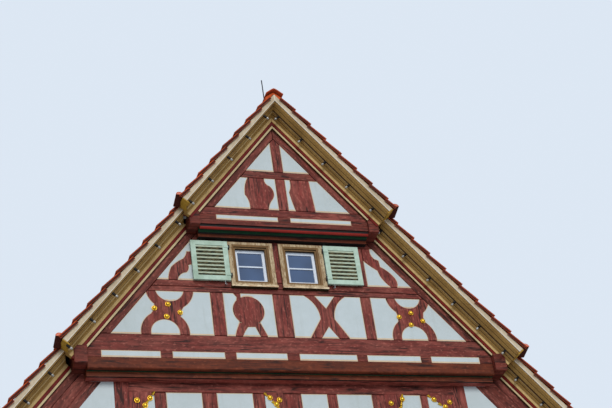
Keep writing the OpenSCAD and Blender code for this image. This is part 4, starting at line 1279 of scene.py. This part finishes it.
# %% [markdown]
# Under each jetty runs a moulding. At the top gable it is painted band by band: a fillet, a
# black line, a red roll, a dark green hollow and a last brown fillet, with thin black lines
# between them; its underside beyond the last fillet is painted black as the shadow under it.
# The lower ones are brown beams with one dark green line; the inner part of their underside is
# painted a lighter red as painted light, as it faces down into shade. The copy keeps the
# profile of the frame. It is sliced where a painted line begins and ends, and each slice gets
# its paint by its height under the joists and its depth behind the stage face.

# %% Jetty mouldings
MOULD_FACES = {15.046: 5.9, 12.463: 5.6, 9.555: 5.3, 6.705: 5.0, 3.855: 4.8}
TOP_MOULD = max(MOULD_FACES)
FILLET, LINE, ROLL, HOLLOW, BROWN, FOOT = range(6)
TOP_BANDS = [(0.060, ROLL), (0.082, LINE), (0.160, HOLLOW), (0.186, LINE)]
BEAM_BANDS = [(0.067, BROWN), (0.089, LINE), (0.121, HOLLOW), (0.160, LINE)]


def band_paint(face):
    """The paint of one slice of a moulding."""
    centre = face.calc_center_median()
    top = min(z for z in MOULD_FACES if z > centre.z - 0.01)
    fall = top - centre.z
    inset = MOULD_FACES[top] - abs(centre.y)
    downward = face.normal.z < -0.9
    if top != TOP_MOULD:
        if not downward or fall < 0.2:
            return BROWN
        # Past the bands, the underside gets the lighter oxblood as painted light, since it faces
        # down into shade.
        return next((paint for reach, paint in BEAM_BANDS if inset < reach), FOOT)
    if fall < 0.104:
        return FILLET
    if fall < 0.134 and inset < 0.03:
        return LINE
    # Beyond the last band, the underside of the moulding is painted black as the shadow under it.
    last = LINE if downward else BROWN
    return next((paint for reach, paint in TOP_BANDS if inset < reach), last)


mouldings = copy_of("jetty_mouldings")
soften(mouldings, 0.005, 2, math.radians(40))
for top, front in MOULD_FACES.items():
    for inset, _ in TOP_BANDS[:3] if top == TOP_MOULD else BEAM_BANDS:
        for side in (-1, 1):
            near = [f for f in mouldings.faces if 0 < top - f.calc_center_median().z + 0.01 < 0.4]
            bmesh.ops.bisect_plane(mouldings, geom=with_rims(near), dist=1e-6, plane_no=Y_AXIS,
                                   plane_co=(0, side * (front - inset), 0))
for face in mouldings.faces:
    face.material_index = band_paint(face)
    face.smooth = face.material_index in (ROLL, HOLLOW)
print("slices by paint", [sum(f.material_index == k for f in mouldings.faces) for k in range(6)])
finished("painted_mouldings", mouldings,
         [OXBLOOD_PLAIN, BLACK_LINE, RED_ROLL, GREEN_HOLLOW, JETTY_BROWN, OXBLOOD_LIT_UNDERSIDE],
         replaces=["jetty_mouldings"])

for node, width in (("purlins", 0.012), ("first_floor", 0.006), ("second_floor", 0.006),
                    ("attic_floor", 0.006), ("upper_attic_floor", 0.006), ("loft_floor", 0.006)):
    bm = copy_of(node)
    soften(bm, width, 2)
    finished(node + "_beams", bm, [OXBLOOD_PLAIN], replaces=[node])

# %% [markdown]
# The windows: a wide surround of worn pale wood, whose inner edge is moulded and painted a
# darker brown, a deep reveal, and a sill of cracked bare wood. Undersides are painted dark as
# shade. In it sits a white sash. The front of each surround is inset: the ring along the opening
# is pushed back a little and gets the darker brown. The front of each sash is inset too, which
# gives its double line.

# %% Windows
REVEAL = board_paint("window_reveal", tone(128, 98, 62), tone(76, 54, 28), 0.6, (2, 2, 0.4), 0.7)
REVEAL_DARK = board_paint("reveal_shade", tone(52, 38, 16), tone(20, 14, 6), 0.7)
SURROUND_RIM = 0.036
EDGE_FALL = 0.014
OUTWARD = {"front": -Y_AXIS, "back": Y_AXIS}


def outward_of(centre):
    """The outward direction of the wall that a face of a window belongs to."""
    if abs(centre.y) > 4.3 and abs(centre.y) > abs(centre.x) - 0.6:
        return Vector((0, math.copysign(1, centre.y), 0))
    return Vector((math.copysign(1, centre.x), 0, 0))


def wall_side(side, face):
    """The outward direction of a face of the surrounds on the named side."""
    return OUTWARD.get(side) or outward_of(face.calc_center_median())


def surround_paint(face, out, planes):
    """Pale front, brown moulded edge and reveal, undersides painted dark as shade, bare sill."""
    depth = round(face.calc_center_median().dot(out), 3)
    # Faces turned down get the dark brown as painted shade.
    if face.normal.z < -0.6:
        return 3
    front = face.normal.dot(out) > 0.9
    if face.normal.z > 0.6 or (front and round(depth - SILL_OUT, 3) in planes):
        return 2
    return 0 if front and round(depth + SILL_OUT, 3) in planes else 1


SILL_OUT, LEDGE_IN = 0.030, 0.037
for side in ("front", "back", "side"):
    node = f"{side}_window_surrounds"
    bm = copy_of(node, whole=False)
    depths = {}
    for face in bm.faces:
        out = wall_side(side, face)
        if face.normal.dot(out) > 0.99:
            depths[face] = round(face.calc_center_median().dot(out), 3)
    planes = set(depths.values())
    fronts = [f for f, d in depths.items()
              if {round(d + SILL_OUT, 3), round(d - LEDGE_IN, 3)} <= planes]
    rims = bmesh.ops.inset_region(bm, faces=fronts, thickness=SURROUND_RIM, depth=0.0,
                                  use_boundary=True, use_even_offset=True)["faces"]
    print(node, len(fronts), "front faces,", len(rims), "rim faces")
    for face in bm.faces:
        out = wall_side(side, face)
        face.material_index = surround_paint(face, out, planes)
    pushed = set()
    for face in rims:
        out = wall_side(side, face)
        ledge = face.verts[0].co.dot(out) - LEDGE_IN
        near = {v for e in face.edges for n in e.link_faces for v in n.verts}
        if any(abs(v.co.dot(out) - ledge) < 1e-3 for v in near):
            face.material_index = 1
            pushed |= {(v, out.copy().freeze()) for e in face.edges for v in e.verts
                       if any(abs(n.normal.dot(out)) < 0.5 for n in e.link_faces)}
    for corner, out in pushed:
        corner.co -= out * EDGE_FALL
    finished(f"{side}_window_frames", bm, [SURROUND, REVEAL, SILL_WOOD, REVEAL_DARK],
             replaces=[node])

sashes = copy_of("casements", whole=False)
fronts = [f for f in sashes.faces if f.normal.dot(outward_of(f.calc_center_median())) > 0.9]
bmesh.ops.inset_region(sashes, faces=fronts, thickness=0.010, depth=-0.006, use_boundary=True,
                       use_even_offset=True)
soften(sashes, 0.002)
finished("white_sashes", sashes, [WHITE], replaces=["casements"])

# %% [markdown]
# The two shutters hang on pins. They are copies of the frame's shutters with rounded edges.
# The slats are painted with light and shade: light along their outer edge, and painted dark
# shade below it, where the slat above shadows it, with a little dirt over all: this paint
# repeats from slat to slat with the height. The knuckles and straps of the hinges are black iron.
# All of it rides on its shutter's body.

# %% Shutters
PIN_REACH = 0.016
SHUTTER_STILE = 0.088
SLATS = 8
HINGE_X = {"left": -1.0225, "right": 0.7025}


def painted_slat_light_and_shade(first, pitch):
    """Painted light and shade: light along the upper edge of every slat, painted olive black shade
    under it.
    """
    made = Finish("painted_slat_light_and_shade", 0.6, tone(16, 26, 14))
    height = made.node("SeparateXYZ")
    made.feed(height.inputs[0], made.place())
    steps = made.node("MapRange", clamp=False)
    made.feed(steps.inputs["Value"], height.outputs["Z"])
    steps.inputs["From Min"].default_value = first
    steps.inputs["From Max"].default_value = first + pitch
    # edge marks the lit upper part of each slat, a painted highlight; the olive black base below
    # it is painted shade.
    edge = made.between(made.maths("FRACT", steps.outputs["Result"]), 0.52, 0.60)
    made.stain(made.noise(made.place((2, 2, 9)), 9, 0.4, 0.7), tone(48, 48, 20), 0.7)
    made.stain(edge, tone(196, 212, 190), 1.0)
    made.stain(made.noise(made.place((2, 2, 9)), 7, 0.42, 0.66), tone(142, 132, 96), 0.5)
    return made.done()


shutter_low, shutter_high = (corner.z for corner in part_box("left_shutter"))
slats_low, slats_high = shutter_low + SHUTTER_STILE, shutter_high - SHUTTER_STILE
SLAT_LIGHT_AND_SHADE = painted_slat_light_and_shade(slats_low, (slats_high - slats_low) / SLATS)
for side, hinge_x in HINGE_X.items():
    node = f"{side}_shutter"
    bm = copy_of(node)
    soften(bm, 0.003, 2)
    for face in bm.faces:
        centre = face.calc_center_median()
        iron = abs(centre.x - hinge_x) < PIN_REACH
        # The broad faces of the slats, facing down and out, get the painted light and shade.
        under = face.normal.z < -0.3 and face.normal.y < -0.5 and face.calc_area() > 0.004
        face.material_index = 2 if iron else 1 if under else 0
    finished(f"{side}_shutter_leaf", bm, [MINT, SLAT_LIGHT_AND_SHADE, IRON], body=node,
             replaces=[node])

stay = bmesh.new()
for hinge_x, way in zip(HINGE_X.values(), (-1, 1)):
    foot = Vector((hinge_x + way * 0.11, -5.60, 13.90))
    tip = foot + Vector((way * 0.02, -0.085, -0.012))
    low = tip - UP_AXIS * 0.03
    hook = low - X_AXIS * way * 0.03
    for start, end in ((foot, tip), (low, tip + UP_AXIS * 0.045), (hook, low)):
        rod(stay, start, end, 0.006, 10)
finished("shutter_stays", stay, [ZINC])

# %% [markdown]
# Gilded knobs sit round the middle of each curved cross. They are small, so a merged and
# smoothly shaded copy of the frame's knobs is enough. Each is widened about its own middle,
# the four of a cross are turned a little clockwise about the middle of their ring, and the
# three of each bay of the frieze are seated on its corner bracket.

# %% Knobs and rod
KNOB_SWELL, KNOB_OUT = 1.25, 0.006
KNOB_TURN = Matrix.Rotation(math.radians(9), 3, "Y") @ Matrix.Diagonal((1.08, 1, 1))
FRIEZE_KNOBS = [-2.682, -0.424, 1.750, 2.611]
BRACKET_EYES = [
    [(-2.76, 11.83), (-2.63, 11.74), (-2.54, 11.87)],
    [(-0.50, 11.90), (-0.40, 11.78), (-0.34, 11.86)],
    [(1.66, 11.82), (1.82, 11.70), (1.88, 11.90)],
    [(2.47, 11.90), (2.66, 11.76), (2.76, 11.85)],
]


def swell(bm):
    """Widens the knobs, turns the rings of four and seats the others on the brackets."""
    parts = parts_of(bm)
    for part, middle in parts:
        ring = [m for _, m in parts if (m - middle).length < 0.5]
        centre = sum(ring, Vector()) / len(ring)
        if len(ring) == 4:
            moved = centre + KNOB_TURN @ (middle - centre)
        else:
            row = min(range(4), key=lambda k: abs(centre.x - FRIEZE_KNOBS[k]))
            order = sorted(ring, key=lambda m: m.x).index(middle)
            x, z = BRACKET_EYES[row][order]
            moved = Vector((x, middle.y + math.copysign(KNOB_OUT, middle.y), z))
        for corner in part:
            apart = corner.co - middle
            corner.co = moved + Vector((apart.x * KNOB_SWELL, apart.y, apart.z * KNOB_SWELL))


for node, paint, slot in (("cross_knobs", GOLD, "gold_paint"), ("lightning_rod", IRON, "iron"),
                          ("shutter_pins", IRON, "iron")):
    bm = copy_of(node)
    if node == "cross_knobs":
        swell(bm)
    for face in bm.faces:
        face.smooth = True
    for edge in bm.edges:
        edge.smooth = not edge.is_manifold or edge.calc_face_angle() < math.radians(40)
    finished(node + "_metal", bm, [paint], replaces=[node])

# %% [markdown]
# The ground storey is masonry: rendered walls with dressed corner stones, an arch of wedge
# stones on stone jambs, and a door of upright planks with iron straps. The stones of the arch
# are cut from the frame's arch by planes through its centre, as a mason would lay them out.

# %% Door, arch and corner stones
DOOR_X, SPRING, ARCH_STONES, JAMB_STONES = -1.0, 1.75, 9, 5


def arch_stones():
    source = copy_of("door_arch")
    stones = []
    for k in range(ARCH_STONES):
        a0, a1 = (math.pi * (k + step) / ARCH_STONES for step in (0, 1))
        rays = [(DOOR_X + 3 * math.cos(a), SPRING + 3 * math.sin(a)) for a in (a0, a1)]
        add_member(stones, source, [(DOOR_X, SPRING)] + rays, X_AXIS, (1, 0))
    for k in range(JAMB_STONES):
        low, high = (SPRING * (k + step) / JAMB_STONES for step in (0, 1))
        for left, right in ((DOOR_X - 2, DOOR_X), (DOOR_X, DOOR_X + 2)):
            add_member(stones, source, upright(left, right, low, high), X_AXIS, (1, 0))
    source.free()
    return joined_mesh("arch_stones", stones)


hung("arch_stones", arch_stones(), [STONE], replaces=["door_arch"])

PLANKS_IN_DOOR = 7
door_low, door_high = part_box("front_door")
door_width = door_high.x - door_low.x
source = copy_of("front_door")
boards = []
for k in range(PLANKS_IN_DOOR):
    left, right = (door_low.x + door_width * (k + step) / PLANKS_IN_DOOR for step in (0, 1))
    add_member(boards, source, upright(left, right, -1, 4), X_AXIS, (0, 1))
source.free()
hung("door_planks", joined_mesh("door_planks", boards), [OXBLOOD],
     replaces=["front_door"])

HANDLE = Vector((door_high.x - 0.16, door_low.y - 0.03, 1.05))
STRAPS, NAILS = (0.45, 1.55), 6
fittings = bmesh.new()
for z in STRAPS:
    block(fittings, (door_low.x + 0.06, door_low.y - 0.010, z),
          (door_high.x - 0.2, door_low.y + 0.002, z + 0.06), round_by=0.004)
    for k in range(NAILS):
        nail = Vector((door_low.x + 0.12 + k * 0.17, door_low.y, z + 0.03))
        rod(fittings, nail - Y_AXIS * 0.022, nail - Y_AXIS * 0.006, 0.014, 10, 0, 0.018)
hub = HANDLE + UP_AXIS * 0.06
rod(fittings, hub - Y_AXIS * 0.01, hub + Y_AXIS * 0.03, 0.016, 12)
ring = bmesh.ops.create_circle(fittings, segments=10, radius=0.008,
                               matrix=Matrix.Translation(HANDLE + X_AXIS * 0.05))["verts"]
bmesh.ops.spin(fittings, geom=ring + list({e for v in ring for e in v.link_edges}), cent=HANDLE,
               axis=Y_AXIS, angle=2 * math.pi, steps=24, use_merge=True)
finished("door_ironwork", fittings, [IRON])

QUOIN = 0.36
corner_stones = bmesh.new()
wall_low, wall_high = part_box("ground_front_wall")
x, y = wall_high.x + 0.012, wall_low.y - 0.012
for k in range(int(wall_high.z / QUOIN)):
    reach_x, reach_y = (0.62, 0.34) if k % 2 else (0.34, 0.62)
    foot, head = k * QUOIN + 0.006, (k + 1) * QUOIN - 0.006
    block(corner_stones, (x - reach_x, y, foot), (x, y + 0.05, head), round_by=0.008)
    block(corner_stones, (x - 0.05, y + 0.05, foot), (x, y + reach_y, head), round_by=0.008)
mirror_copies(corner_stones, "XY")
finished("corner_stones", corner_stones, [STONE])

FLOOR_RADIUS = 400


def pale_floor():
    bm = bmesh.new()
    bmesh.ops.create_circle(bm, cap_ends=True, segments=64, radius=FLOOR_RADIUS)
    mesh = mesh_of("studio_floor", bm)
    made = Finish("floor_paint", 0.9, FLOOR_TONE)
    made.stain(made.noise(made.place(), 0.6), [c * 0.97 for c in FLOOR_TONE[:3]] + [1], 0.5)
    mesh.materials.append(made.done())
    mesh.transform(Matrix.Translation((0, 0, -0.002)))
    floor = bpy.data.objects.new("studio_floor", mesh)
    scene.collection.objects.link(floor)


pale_floor()
